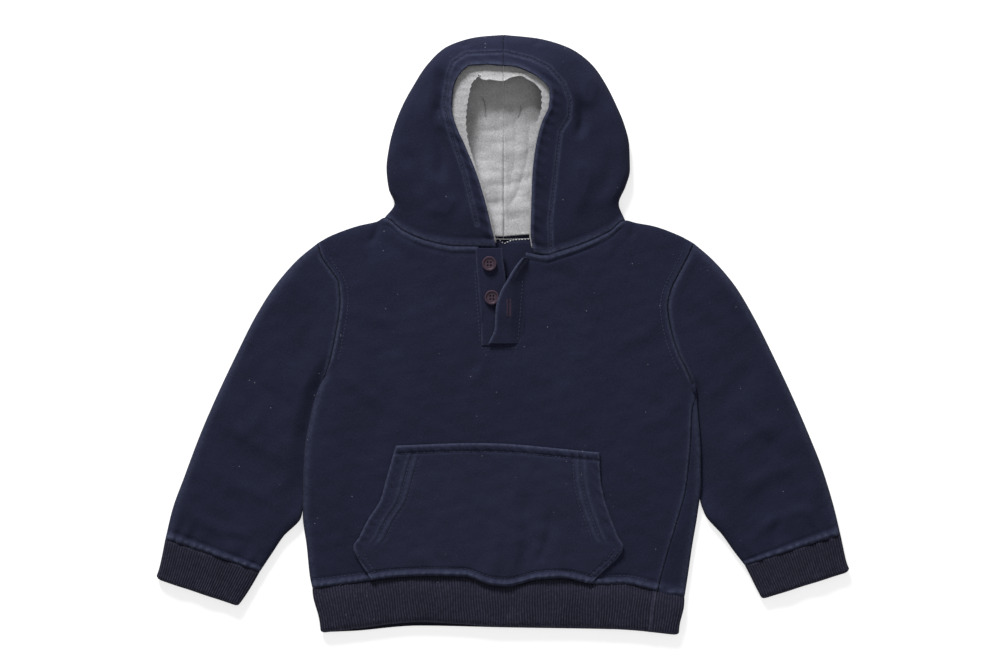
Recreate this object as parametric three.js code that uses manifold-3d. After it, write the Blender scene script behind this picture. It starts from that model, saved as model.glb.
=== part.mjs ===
// A toddler's hooded jumper in navy sweatshirt fleece, lying flat, face up, in millimetres.
// +X is the wearer's left, +Y runs up the garment to the hood and +Z is up off the surface.
// Each piece of cloth is a wall of its true thickness, laid as the sewn garment lies.

import * as THREE from "three";
import { mergeVertices } from "three/addons/utils/BufferGeometryUtils.js";
import Module from "manifold-3d";

// Driving dimensions
const FLEECE = 2;
const JERSEY = 1;
const RIB = 2.4;
const SEAM_GAP = 0.3;
const BODY_HEIGHT = 7;
const SLEEVE_HEIGHT = 7.6;
const RIB_HEIGHT = 8.4;
const PLACKET = 2.4;
const BUTTON = { radius: 5.9, thickness: 2.6, rim: 1.2, dish: 1, hole: 1.5, holeRing: 1.75 };

// How far a folded edge takes to round over, above and below its outermost line
const FOLD_TOP = 8;
const FOLD_UNDER = 4;

// The front lies higher by its neck, over the hood's seams, and rounds over again below the underarms
const NECK_RISE = 1.4;
const UNDERARM_BLEND = 25;
const CROWN_UNDER = 170;
const LINING_SHY = 2.5;

const NAVY = { color: 0x232639, roughness: 0.95, metalness: 0 };
const NAVY_RIB = { color: 0x242433, roughness: 0.95, metalness: 0 };
const GREY_MARL = { color: 0xb2b2b3, roughness: 0.95, metalness: 0 };
const PLUM = { color: 0x44343f, roughness: 0.4, metalness: 0 };

// The body's side folds below the underarms
const sideFolds = [
  { y: -209, right: -150.5, left: 144.5 },
  { y: -193, right: -154.5, left: 147 },
  { y: -169, right: -157, left: 150.5 },
  { y: -142, right: -160.3, left: 155 },
  { y: -118, right: -160, left: 157.8 },
  { y: -92, right: -158.8, left: 157.5 },
  { y: -65, right: -154, left: 155.6 },
  { y: -46, right: -149, left: 153.5 },
  { y: -33, right: -143, left: 149 },
];

// The armhole seams, from the underarm to the shoulder point
const armholes = {
  right: [
    { y: -33, x: -143 },
    { y: -21, x: -138.5 },
    { y: 4, x: -133.2 },
    { y: 26, x: -130.3 },
    { y: 41, x: -131.5 },
    { y: 51, x: -137.5 },
    { y: 61, x: -144.5 },
    { y: 73, x: -148.6 },
  ],
  left: [
    { y: -46, x: 153.5 },
    { y: -29, x: 146.4 },
    { y: -16, x: 140 },
    { y: 4, x: 133.8 },
    { y: 23, x: 131.2 },
    { y: 35, x: 133.5 },
    { y: 46, x: 138.5 },
    { y: 61, x: 146.4 },
    { y: 73, x: 152 },
  ],
};

// The shoulders and the front neck seam, then the neck seam at the back
const frontTop = [
  { x: -148.6, y: 73 },
  { x: -138, y: 79 },
  { x: -116, y: 87 },
  { x: -101, y: 90.5 },
  { x: -95, y: 93.6 },
  { x: -80, y: 83 },
  { x: -60, y: 74.6 },
  { x: -38, y: 70.6 },
  { x: -22, y: 70.4 },
  { x: 0, y: 69.6 },
  { x: 20, y: 65.6 },
  { x: 34, y: 63.4 },
  { x: 46, y: 66.6 },
  { x: 62, y: 72 },
  { x: 84, y: 82 },
  { x: 97, y: 91.5 },
  { x: 106, y: 89.4 },
  { x: 119, y: 87 },
  { x: 141, y: 79 },
  { x: 152, y: 73 },
];
const backNeck = [
  { x: -95, y: 93.6 },
  { x: -60, y: 82 },
  { x: 2, y: 76.5 },
  { x: 62, y: 81 },
  { x: 97, y: 91.5 },
];

// The seam between body and rib, wavy where the pocket pulls at the front and straight behind
const frontHem = [
  { x: -153, y: -202 },
  { x: -120, y: -197.8 },
  { x: -83, y: -193.1 },
  { x: -59, y: -192.2 },
  { x: -32, y: -192.6 },
  { x: -9, y: -199.6 },
  { x: 3, y: -200.6 },
  { x: 13, y: -198.9 },
  { x: 27, y: -195 },
  { x: 45, y: -193.9 },
  { x: 77, y: -199 },
  { x: 96, y: -198.6 },
  { x: 120, y: -203.3 },
  { x: 146, y: -208.6 },
];
const backHem = [
  { x: -153, y: -202 },
  { x: 146, y: -208.6 },
];
const RIB_EDGES = {
  front: [
    { x: -143, y: -237.4 },
    { x: -120, y: -234.5 },
    { x: -67, y: -229 },
    { x: -35, y: -230.5 },
    { x: 0, y: -233 },
    { x: 60, y: -233.4 },
    { x: 98, y: -235.2 },
    { x: 138, y: -239.2 },
  ],
  back: [
    { x: -143, y: -237.4 },
    { x: -120, y: -236.4 },
    { x: -67, y: -232.2 },
    { x: 0, y: -233.6 },
    { x: 98, y: -235.4 },
    { x: 138, y: -239.2 },
  ],
};

// How far the side seams lie in from the folds: on the front at the wearer's left, behind at the right
const seamTurns = [
  { y: -209, turn: 23 },
  { y: -193, turn: 21.3 },
  { y: -130, turn: 13 },
  { y: -76, turn: 6.8 },
  { y: -46, turn: 3.4 },
  { y: -33, turn: 3.2 },
];

// Each sleeve's inner and outer folds, from the cuff seam to the armhole, and how much of the armhole's
// curve each row takes
const sleeveRows = {
  right: [
    { innerX: -194.2, innerY: -188.6, outerX: -269.8, outerY: -162.6, bow: 0 },
    { innerX: -184.5, innerY: -174, outerX: -263.6, outerY: -137, bow: 0 },
    { innerX: -175.6, innerY: -160.8, outerX: -254.8, outerY: -112.8, bow: 0 },
    { innerX: -162.9, innerY: -144.8, outerX: -242.8, outerY: -80.8, bow: 0 },
    { innerX: -161.4, innerY: -126, outerX: -230.5, outerY: -52, bow: 0 },
    { innerX: -160.4, innerY: -96, outerX: -214, outerY: -16.8, bow: 0.1 },
    { innerX: -155.8, innerY: -66, outerX: -198, outerY: 15.2, bow: 0.25 },
    { innerX: -151, innerY: -48, outerX: -182.8, outerY: 39.2, bow: 0.5 },
    { innerX: -146.6, innerY: -38, outerX: -164, outerY: 60.8, bow: 0.8 },
    { innerX: -143.6, innerY: -33, outerX: -149.2, outerY: 73, bow: 1 },
  ],
  left: [
    { innerX: 192.4, innerY: -183.6, outerX: 268.8, outerY: -159, bow: 0 },
    { innerX: 183.4, innerY: -172, outerX: 262.6, outerY: -133, bow: 0 },
    { innerX: 174.6, innerY: -159.6, outerX: 254, outerY: -105, bow: 0 },
    { innerX: 163.6, innerY: -143, outerX: 244.4, outerY: -80.8, bow: 0 },
    { innerX: 159.2, innerY: -128, outerX: 231.6, outerY: -51, bow: 0 },
    { innerX: 158.9, innerY: -98, outerX: 215.6, outerY: -16.8, bow: 0.1 },
    { innerX: 157.4, innerY: -72, outerX: 199.6, outerY: 15.2, bow: 0.25 },
    { innerX: 156, innerY: -56, outerX: 185.2, outerY: 39.2, bow: 0.5 },
    { innerX: 154.8, innerY: -49, outerX: 166.6, outerY: 60.8, bow: 0.8 },
    { innerX: 154.1, innerY: -46, outerX: 152.6, outerY: 73, bow: 1 },
  ],
};
const cuffRows = {
  right: [
    { innerX: -194.4, innerY: -188.9, outerX: -269.9, outerY: -162.9 },
    { innerX: -200, innerY: -198.8, outerX: -272.4, outerY: -176 },
    { innerX: -206, innerY: -208.8, outerX: -275, outerY: -187.6 },
    { innerX: -210.6, innerY: -216.6, outerX: -277, outerY: -194.6 },
  ],
  left: [
    { innerX: 192.6, innerY: -183.9, outerX: 268.9, outerY: -159.3 },
    { innerX: 197.4, innerY: -193.4, outerX: 271.2, outerY: -170.6 },
    { innerX: 201.4, innerY: -202, outerX: 273.6, outerY: -181.6 },
    { innerX: 205.4, innerY: -211, outerX: 275.8, outerY: -188.8 },
  ],
};

// Each half of the hood from the neck seam to the crown: the face opening's edge, the outer fold, the
// heights of the two, and how far the lining shows inside the opening's edge
const hoodRows = {
  right: [
    { faceX: -5, faceY: 71.2, foldX: -94.8, foldY: 94.3, rim: 8.4, height: 7, lip: 0 },
    { faceX: -8.2, faceY: 84, foldX: -87, foldY: 105, rim: 12, height: 9.5, lip: 0 },
    { faceX: -12, faceY: 100, foldX: -91.5, foldY: 116.5, rim: 14, height: 11.5, lip: 0 },
    { faceX: -20, faceY: 127, foldX: -93.3, foldY: 133, rim: 16, height: 12.5, lip: 0 },
    { faceX: -29, faceY: 149, foldX: -91, foldY: 151, rim: 18, height: 12.5, lip: 2 },
    { faceX: -37, faceY: 167, foldX: -86.8, foldY: 167, rim: 20, height: 12.5, lip: 7 },
    { faceX: -40.4, faceY: 181, foldX: -80.4, foldY: 183, rim: 21, height: 12.5, lip: 11 },
    { faceX: -39.4, faceY: 194, foldX: -71.6, foldY: 199, rim: 22, height: 12.5, lip: 12 },
    { faceX: -34, faceY: 206, foldX: -61, foldY: 215.2, rim: 23, height: 12.5, lip: 11 },
    { faceX: -25, faceY: 212.6, foldX: -44, foldY: 230.4, rim: 24, height: 12.5, lip: 11 },
    { faceX: -14, faceY: 213, foldX: -20, foldY: 237.6, rim: 24, height: 12.5, lip: 10.5 },
    { faceX: -0.8, faceY: 212.2, foldX: -0.8, foldY: 239.2, rim: 24, height: 12.5, lip: 10 },
  ],
  left: [
    { faceX: 23, faceY: 66, foldX: 97, foldY: 92, rim: 8.4, height: 7, lip: 0 },
    { faceX: 20.6, faceY: 82, foldX: 92, foldY: 105, rim: 12, height: 9.5, lip: 0 },
    { faceX: 21, faceY: 102, foldX: 97.4, foldY: 118.5, rim: 14, height: 11.5, lip: 0 },
    { faceX: 22, faceY: 128, foldX: 100.8, foldY: 132, rim: 16, height: 12.5, lip: 0 },
    { faceX: 24.6, faceY: 150, foldX: 100.2, foldY: 151, rim: 18, height: 12.5, lip: 0 },
    { faceX: 29.5, faceY: 169, foldX: 96.2, foldY: 168, rim: 20, height: 12.5, lip: 2 },
    { faceX: 34.8, faceY: 181, foldX: 90, foldY: 183, rim: 21, height: 12.5, lip: 4 },
    { faceX: 35.6, faceY: 192, foldX: 82, foldY: 199, rim: 22, height: 12.5, lip: 5 },
    { faceX: 29, faceY: 201.4, foldX: 70.8, foldY: 215.2, rim: 23, height: 12.5, lip: 5 },
    { faceX: 19.6, faceY: 207.4, foldX: 52, foldY: 229, rim: 24, height: 12.5, lip: 5 },
    { faceX: 10, faceY: 211, foldX: 26, foldY: 236.6, rim: 24, height: 12.5, lip: 8 },
    { faceX: 0.8, faceY: 212.2, foldX: 0.8, foldY: 239.2, rim: 24, height: 12.5, lip: 10 },
  ],
};
// The kangaroo pocket's two hand openings, from the hem to its upper corners
const pocketSides = [
  { y: -201, right: -100, left: 65 },
  { y: -190.5, right: -108, left: 77 },
  { y: -168.6, right: -119.6, left: 95.6 },
  { y: -161, right: -115.1, left: 91.6 },
  { y: -148, right: -108.6, left: 86.4 },
  { y: -131, right: -98, left: 80.6 },
  { y: -114, right: -93.2, left: 77.4 },
  { y: -88, right: -85.8, left: 76.2 },
];
const POCKET_TOP = { right: -88, middle: -86, left: -93.4 };

// The half placket's two bands: each one's sewn and free edges, and how far the upper one stands up
const underBand = [
  { y: -8.6, sewn: -17.6, free: 3 },
  { y: 6, sewn: -18.2, free: 2.8 },
  { y: 24, sewn: -19.4, free: 2.6 },
  { y: 44, sewn: -21, free: 2 },
  { y: 57, sewn: -21.8, free: 0.3 },
  { y: 69.4, sewn: -22.6, free: -1 },
];
const overBand = [
  { y: -7, sewn: 15, free: -12.2, lift: 0.5 },
  { y: 6, sewn: 16.8, free: -7, lift: 1.2 },
  { y: 21, sewn: 18, free: -6.2, lift: 3.2 },
  { y: 33, sewn: 19, free: -3, lift: 3.6 },
  { y: 44, sewn: 19.4, free: 3, lift: 3.6 },
  { y: 54, sewn: 20, free: 9, lift: 3.2 },
  { y: 61.4, sewn: 21, free: 15, lift: 3 },
];
const SLIT_FOOT = -9;
const buttons = [
  { name: "button_upper", x: -11.3, y: 56.8 },
  { name: "button_lower", x: -9.3, y: 29.9 },
];

const { lerp, smoothstep, clamp, degToRad } = THREE.MathUtils;

// A smooth curve with no overshoot through one column of a table, read at a place along another column
function through(table, along, column) {
  const rows = [...table].sort((a, b) => a[along] - b[along]);
  const at = rows.map((row) => row[along]);
  const value = rows.map((row) => row[column]);
  const rise = at.slice(1).map((place, i) => (value[i + 1] - value[i]) / (place - at[i]));
  const slope = at.map((_, i) => {
    const before = rise[i - 1] ?? rise[i];
    const after = rise[i] ?? before;
    return before * after > 0 ? (2 * before * after) / (before + after) : 0;
  });
  return (place) => {
    const inside = clamp(place, at[0], at.at(-1));
    const i = clamp(at.findIndex((next) => next >= inside) - 1, 0, at.length - 2);
    const span = at[i + 1] - at[i];
    const t = (inside - at[i]) / span;
    const leave = t * (1 - t) * (1 - t) * slope[i] * span;
    const arrive = t * t * (t - 1) * slope[i + 1] * span;
    return lerp(value[i], value[i + 1], t * t * (3 - 2 * t)) + leave + arrive;
  };
}

// The quarter round of a fold: 0 on its outermost line, 1 at its reach
function rounding(away, reach) {
  const left = 1 - clamp(away / reach, 0, 1);
  return Math.sqrt(1 - left * left);
}

const fold = { right: through(sideFolds, "y", "right"), left: through(sideFolds, "y", "left") };
const armhole = {
  right: through(armholes.right, "y", "x"),
  left: through(armholes.left, "y", "x"),
};
const underarm = { right: armholes.right[0].y, left: armholes.left[0].y };
const seamTurn = through(seamTurns, "y", "turn");
const frontTopAt = through(frontTop, "x", "y");
const backNeckAt = through(backNeck, "x", "y");
const frontHemAt = through(frontHem, "x", "y");
const backHemAt = through(backHem, "x", "y");
const neckEnd = { right: backNeck[0].x, left: backNeck.at(-1).x };

function backTopAt(x) {
  return x < neckEnd.right || x > neckEnd.left ? frontTopAt(x) : backNeckAt(x);
}

// The height of the outermost line of a fold in a layer pair of some height
function foldLine(height) {
  return height / 2 + 1;
}

// The front's upper face: a flat lay that rounds over at the side folds and along the shoulders
function frontHeight(x, y) {
  const side = x < 0 ? "right" : "left";
  const rounds = 1 - smoothstep(y, underarm[side], underarm[side] + UNDERARM_BLEND);
  const across = 1 - rounds * (1 - rounding(Math.abs(fold[side](y) - x), FOLD_TOP));
  const insideNeck = Math.max(0, Math.abs(neckEnd[side]) - Math.abs(x));
  const shoulder = frontTopAt(insideNeck > 0 ? neckEnd[side] : x) + insideNeck;
  const along = rounding(shoulder - y + 1, FOLD_TOP);
  const nearNeck = smoothstep(y, 20, 66) * (1 - smoothstep(Math.abs(x), 60, 95));
  const full = BODY_HEIGHT + NECK_RISE * nearNeck;
  return lerp(foldLine(BODY_HEIGHT), full, across * along);
}

const garment = new THREE.Group();
const materials = new Map();

function addPiece(name, geometry, finish) {
  if (!materials.has(finish)) materials.set(finish, new THREE.MeshStandardMaterial(finish));
  const mesh = new THREE.Mesh(geometry, materials.get(finish));
  mesh.name = name;
  garment.add(mesh);
}

// Visits each cell of a grid of rows; in a ring the last column joins the first
function eachCell(grid, ring, visit) {
  const columns = grid[0].length;
  for (let i = 0; i + 1 < grid.length; i++) {
    for (let j = 0; j < (ring ? columns : columns - 1); j++) {
      const next = (j + 1) % columns;
      const corners = [[i, j], [i, next], [i + 1, next], [i + 1, j]];
      if (corners.every(([row, column]) => grid[row][column])) visit(corners);
    }
  }
}

// The grid moved inwards along its own outward directions. Rows run up the garment and columns run
// towards +X on the upper face and back beneath, so that outwards is column by row.
function inwards(grid, distance, ring = false) {
  const normals = grid.map((row) => row.map(() => new THREE.Vector3()));
  eachCell(grid, ring, (corners) => {
    const [a, b, c, d] = corners.map(([row, column]) => grid[row][column]);
    const face = c.clone().sub(a).cross(d.clone().sub(b)).normalize();
    for (const [row, column] of corners) normals[row][column].add(face);
  });
  return grid.map((row, i) =>
    row.map((point, j) => point && point.clone().addScaledVector(normals[i][j].normalize(), -distance)),
  );
}

// A wall of cloth: the grid is its outer face, its inner face lies a thickness inside, and each edge
// with cloth on one side only is closed. A cell with a missing corner is left out.
function addCloth(name, grid, thickness, finish, ring = false) {
  const columns = grid[0].length;
  const points = [...grid.flat(), ...inwards(grid, thickness, ring).flat()];
  const under = grid.length * columns;
  const triangles = [];
  const edges = new Map();
  const addSquare = (a, b, c, d) => triangles.push(a, b, c, a, c, d);
  eachCell(grid, ring, (corners) => {
    const [a, b, c, d] = corners.map(([row, column]) => row * columns + column);
    addSquare(a, b, c, d);
    addSquare(under + d, under + c, under + b, under + a);
    for (const [from, to] of [[a, b], [b, c], [c, d], [d, a]]) {
      if (!edges.delete(`${to},${from}`)) edges.set(`${from},${to}`, [from, to]);
    }
  });
  for (const [from, to] of edges.values()) addSquare(from, under + from, under + to, to);
  const used = [...new Set(triangles)];
  const place = new Map(used.map((point, k) => [point, k]));
  const geometry = new THREE.BufferGeometry().setFromPoints(used.map((point) => points[point]));
  geometry.setIndex(triangles.map((point) => place.get(point)));
  geometry.computeVertexNormals();
  addPiece(name, geometry, finish);
}

function turned(columns) {
  return columns[0].map((_, row) => columns.map((column) => column[row]));
}

// Body: front and back panels -----------------------------------------------------------------------

const BODY_ROWS = { hemToUnderarm: 8, underarmToSlit: 2, slitToTop: 5 };
const UNDERARM_ROW = BODY_ROWS.hemToUnderarm;
const SLIT_ROW = UNDERARM_ROW + BODY_ROWS.underarmToSlit;
const LEVEL_X = { hem: -200, underarm: -40, top: 85 };

// One column of a panel, whose place across may depend on the height and the row
function bodyColumn(placeX, hemAt, topAt, heightAt, lastRow = Infinity) {
  const nearUnderarm = (placeX(LEVEL_X.underarm, UNDERARM_ROW) + 148) / 300;
  const stops = [
    hemAt(placeX(LEVEL_X.hem, 0)),
    lerp(underarm.right, underarm.left, clamp(nearUnderarm, 0, 1)),
    SLIT_FOOT,
    topAt(placeX(LEVEL_X.top, SLIT_ROW + 1)),
  ];
  const heights = [stops[0]];
  Object.values(BODY_ROWS).forEach((count, zone) => {
    for (let k = 1; k <= count; k++) heights.push(lerp(stops[zone], stops[zone + 1], k / count));
  });
  return heights.map((y, row) => {
    if (row > lastRow) return null;
    const x = placeX(y, row);
    return new THREE.Vector3(x, y, heightAt(x, y));
  });
}

function upperColumn(placeX, lastRow) {
  return bodyColumn(placeX, frontHemAt, frontTopAt, frontHeight, lastRow);
}

function underColumn(placeX, lastRow) {
  return bodyColumn(placeX, backHemAt, backTopAt, () => 0, lastRow);
}

// The columns round the lower half of a side fold, from its outermost line inwards
function underFold(side, angles) {
  const inside = side === "right" ? 1 : -1;
  return angles.map((angle) => {
    const height = foldLine(BODY_HEIGHT) * (1 - Math.sin(angle));
    const reach = (y) => Math.min(FOLD_UNDER, 0.8 * seamTurn(y));
    const placeX = (y) => fold[side](y) + inside * reach(y) * (1 - Math.cos(angle));
    return bodyColumn(placeX, backHemAt, backTopAt, () => height, UNDERARM_ROW);
  });
}

const bodyEdge = {
  right: (y, row) => (row <= UNDERARM_ROW ? fold.right(y) : armhole.right(y)),
  left: (y, row) => (row <= UNDERARM_ROW ? fold.left(y) : armhole.left(y)),
};
const underSewn = through(underBand, "y", "sewn");
const underFree = through(underBand, "y", "free");
const overSewn = through(overBand, "y", "sewn");
const neckPlaces = { right: [-95, -78, -60, -41], left: [34, 48, 64, 80, 97] };
const middle = [
  ...neckPlaces.right.map((x) => () => x),
  (y) => underSewn(y) - SEAM_GAP,
  () => -8,
  () => 5,
  (y) => overSewn(y) + SEAM_GAP,
  ...neckPlaces.left.map((x) => () => x),
];
const slitColumn = neckPlaces.right.length;

const frontEnd = (y, row) => (row <= UNDERARM_ROW ? fold.left(y) - seamTurn(y) : armhole.left(y));
const frontFromFold = [
  ...[0, 0.13, 0.5, 1].map((share) => (y, row) => bodyEdge.right(y, row) + FOLD_TOP * share),
  ...[0.35, 0.7].map((share) => (y, row) => {
    return lerp(bodyEdge.right(y, row) + FOLD_TOP, neckPlaces.right[0], share);
  }),
  ...middle,
  ...[0.3, 0.6, 0.85, 1].map((share) => (y, row) => {
    return lerp(neckPlaces.left.at(-1), frontEnd(y, row), share);
  }),
];
const wrapOfFront = [
  underColumn((y) => fold.right(y) + seamTurn(y), UNDERARM_ROW),
  ...underFold("right", [90, 60, 30].map(degToRad)),
];
const frontGrid = turned([...wrapOfFront, ...frontFromFold.map((placeX) => upperColumn(placeX))]);
const slitStart = wrapOfFront.length + frontFromFold.indexOf(middle[slitColumn]);
const frontCut = frontGrid.map((row, i) =>
  row.map((point, j) => (i > SLIT_ROW && (j === slitStart + 1 || j === slitStart + 2) ? null : point)),
);
addCloth("front_panel", frontCut, FLEECE, NAVY);

const WRAP_GAP = 0.9;
const backEdge = {
  right: (y, row) => (row <= UNDERARM_ROW ? fold.right(y) + seamTurn(y) + WRAP_GAP : armhole.right(y)),
  left: (y, row) => (row <= UNDERARM_ROW ? fold.left(y) - FOLD_UNDER : armhole.left(y)),
};
const backGrid = turned([
  upperColumn((y) => fold.left(y) - seamTurn(y) + WRAP_GAP, UNDERARM_ROW),
  ...[0.5, 0.14, 0].map((share) =>
    upperColumn((y) => fold.left(y) - Math.min(seamTurn(y), FOLD_TOP) * share, UNDERARM_ROW),
  ),
  ...underFold("left", [30, 60].map(degToRad)),
  ...[0, 0.5].map((share) =>
    underColumn((y, row) => lerp(backEdge.left(y, row), neckPlaces.left.at(-1), share)),
  ),
  ...[...middle].reverse().map((placeX) => underColumn(placeX)),
  ...[0.5, 1].map((share) =>
    underColumn((y, row) => lerp(neckPlaces.right[0], backEdge.right(y, row), share)),
  ),
]);
addCloth("back_panel", backGrid, FLEECE, NAVY);

// Hem rib: a doubled band round the body's lower edge ------------------------------------------------

const ribFrontAt = through(RIB_EDGES.front, "x", "y");
const ribBackAt = through(RIB_EDGES.back, "x", "y");
const RIB_ROWS = [1, 0.9, 0.6, 0.3, 0.06, 0];
const hemRing = [...frontGrid[0], ...backGrid[0].slice(1, -1)];
const ribShrink = {
  right: RIB_EDGES.front[0].x / fold.right(backHem[0].y),
  left: RIB_EDGES.front.at(-1).x / fold.left(backHem.at(-1).y),
};
const hemGrid = RIB_ROWS.map((share) =>
  hemRing.map((point, j) => {
    const front = j >= wrapOfFront.length && j < frontGrid[0].length + 3;
    const x = point.x * (point.x < 0 ? ribShrink.right : ribShrink.left);
    const bottom = front ? ribFrontAt(x) : ribBackAt(x);
    const swell = 1 + (RIB_HEIGHT / BODY_HEIGHT - 1) * Math.sin(Math.PI * smoothstep(share, 0.06, 1) ** 0.7);
    const inset = 1 - Math.max(0, share - 0.9);
    return new THREE.Vector3(
      lerp(point.x, x, smoothstep(share, 0.06, 0.8)),
      lerp(point.y - 1.5 * SEAM_GAP, bottom, share),
      point.z * swell * inset,
    );
  }),
);
addCloth("hem_rib", hemGrid, RIB, NAVY_RIB, true);

// Sleeves and cuffs: flattened tubes ----------------------------------------------------------------

// Places across a tube's upper face, from its inner to its outer fold, and then back beneath
const OVER = [0, 0.012, 0.05, 0.113, 0.226, 0.38, 0.536, 0.69, 0.845, 0.94, 0.985, 1];
const BENEATH = [0.99, 0.96, 0.845, 0.69, 0.536, 0.38, 0.226, 0.113, 0.04, 0.01];

// One ring of a tube lying on the surface. The armhole's own ring takes the panels' curve and height.
function tubeRing(side, row, height) {
  const inner = new THREE.Vector2(row.innerX, row.innerY);
  const outer = new THREE.Vector2(row.outerX, row.outerY);
  const width = inner.distanceTo(outer);
  const last = sleeveRows[side].at(-1);
  const away = side === "right" ? -1 : 1;
  const place = (share) => {
    const straight = inner.clone().lerp(outer, share);
    if (!row.bow) return straight;
    const y = lerp(last.innerY, last.outerY, share);
    const seam = armhole[side](y) + away * 3 * SEAM_GAP;
    straight.x += row.bow * (seam - lerp(last.innerX, last.outerX, share));
    return straight;
  };
  const middle = foldLine(height);
  const over = OVER.map((share) => {
    const { x, y } = place(share);
    const away = Math.min(share, 1 - share) * width;
    const lay = lerp(middle, height, rounding(away, FOLD_TOP));
    return new THREE.Vector3(x, y, row.bow === 1 && away > 0 ? frontHeight(x, y) : lay);
  });
  const beneath = BENEATH.map((share) => {
    const { x, y } = place(share);
    const lay = middle * (1 - rounding(Math.min(share, 1 - share) * width, FOLD_UNDER));
    return new THREE.Vector3(x, y, lay);
  });
  return side === "left" ? [...over, ...beneath] : [...over, ...beneath].reverse();
}

for (const side of ["right", "left"]) {
  const sleeve = sleeveRows[side].map((row) => {
    return tubeRing(side, row, row.bow === 1 ? BODY_HEIGHT : SLEEVE_HEIGHT);
  });
  addCloth(`sleeve_${side}`, sleeve, FLEECE, NAVY, true);
  const heights = [SLEEVE_HEIGHT, RIB_HEIGHT, RIB_HEIGHT, RIB_HEIGHT - 1];
  const cuff = cuffRows[side].map((row, i) => tubeRing(side, row, heights[i]));
  addCloth(`cuff_${side}`, cuff.reverse(), RIB, NAVY_RIB, true);
}

// Hood: two halves of fleece and two of jersey inside them -------------------------------------------

const UNDER_ANGLES = [30, 60].map(degToRad);

// One row of half a hood: from the centre of its back, beneath to the outer fold and over to the face
function hoodRow(side, row, i, start, shy = 0) {
  const away = side === "right" ? -1 : 1;
  const first = hoodRows[side][0];
  const face = new THREE.Vector2(row.faceX, row.faceY);
  const foldAt = new THREE.Vector2(row.foldX, row.foldY);
  const width = face.distanceTo(foldAt);
  const outwards = foldAt.clone().sub(face).normalize();
  foldAt.addScaledVector(outwards, -shy);
  const neckShares = [...neckPlaces[side], ...(side === "right" ? [-22] : [])]
    .map((x) => (x - first.faceX) / (first.foldX - first.faceX))
    .filter((share) => share > 0 && share < 0.99)
    .sort((a, b) => a - b);
  const bow = [1, 0.35][i] ?? 0;
  const rounds = Math.min(FOLD_TOP, width / 2);
  const over = [0, ...neckShares, 1 - rounds / 2 / width, 1 - rounds / 8 / width, 1].map((share) => {
    const at = face.clone().lerp(foldAt, share);
    if (share === 0) at.addScaledVector(outwards, start(row));
    const neckX = lerp(first.faceX, first.foldX, share);
    at.y += bow * (frontTopAt(neckX) + SEAM_GAP - lerp(first.faceY, first.foldY, share));
    const lay = lerp(row.rim, row.height, share);
    const height = lerp(foldLine(row.height), lay, rounding((1 - share) * width, rounds));
    return new THREE.Vector3(at.x, at.y, i === 0 && share < 1 ? frontHeight(at.x, at.y) : height);
  });
  const crown = i / (hoodRows[side].length - 1);
  const centre = new THREE.Vector2(away * SEAM_GAP / 2, lerp(backNeckAt(0) + SEAM_GAP, CROWN_UNDER, crown));
  const reach = foldAt.distanceTo(centre);
  const round = FOLD_UNDER / reach;
  const beneath = [
    ...UNDER_ANGLES.map((angle) => round * (1 - Math.cos(angle))),
    ...[0, 0.17, 0.36, 0.55, 0.76, 0.92, 1].map((share) => lerp(round, 1, share)),
  ];
  const under = beneath.map((share, k) => {
    const at = foldAt.clone().lerp(centre, share);
    const neckX = lerp(first.foldX, centre.x, share);
    at.y += bow * (backNeckAt(neckX) + SEAM_GAP - lerp(first.foldY, backNeckAt(0) + SEAM_GAP, share));
    const height = foldLine(row.height) * (1 - Math.sin(UNDER_ANGLES[k] ?? Math.PI / 2));
    return new THREE.Vector3(at.x, at.y, height);
  });
  const path = [...over, ...under];
  return side === "left" ? path : path.reverse();
}

for (const side of ["right", "left"]) {
  const outer = hoodRows[side].map((row, i) => hoodRow(side, row, i, () => 1));
  addCloth(`hood_${side}`, outer, FLEECE, NAVY);
  const lining = hoodRows[side].map((row, i) => hoodRow(side, row, i, ({ lip }) => -lip, LINING_SHY));
  addCloth(`hood_lining_${side}`, inwards(lining, FLEECE + SEAM_GAP).slice(1), JERSEY, GREY_MARL);
}

// Kangaroo pocket: laid on the front, its lower edge in the hem seam ----------------------------------

const pocketEdge = {
  right: through(pocketSides, "y", "right"),
  left: through(pocketSides, "y", "left"),
};
const pocketTopAt = through(
  [
    { x: pocketSides.at(-1).right, y: POCKET_TOP.right },
    { x: -20, y: POCKET_TOP.middle },
    { x: pocketSides.at(-1).left, y: POCKET_TOP.left },
  ],
  "x",
  "y",
);
const POCKET_LEVELS = [0, 0.11, 0.2, 0.3, 0.42, 0.56, 0.72, 0.86, 1];
const pocketGrid = POCKET_LEVELS.map((level) =>
  Array.from({ length: 15 }, (_, k) => {
    const share = k / 14;
    const guess = lerp(pocketSides[1].y, pocketSides.at(-1).y, level);
    const across = lerp(pocketEdge.right(guess), pocketEdge.left(guess), share);
    const y = lerp(frontHemAt(across) + 1.5, pocketTopAt(across), level);
    const x = lerp(pocketEdge.right(y), pocketEdge.left(y), share);
    return new THREE.Vector3(x, y, BODY_HEIGHT + SEAM_GAP + FLEECE);
  }),
);
addCloth("kangaroo_pocket", pocketGrid, FLEECE, NAVY);

// Half placket: two doubled bands in the slit, unbuttoned --------------------------------------------

const SHARES = [0, 0.25, 0.5, 0.75, 1];
const underGrid = underBand.map(({ y, sewn, free }) =>
  SHARES.map((share) => {
    const x = lerp(sewn, free, share);
    return new THREE.Vector3(x, y, frontHeight(x, y));
  }),
);
addCloth("placket_under", underGrid, PLACKET, NAVY);

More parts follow.
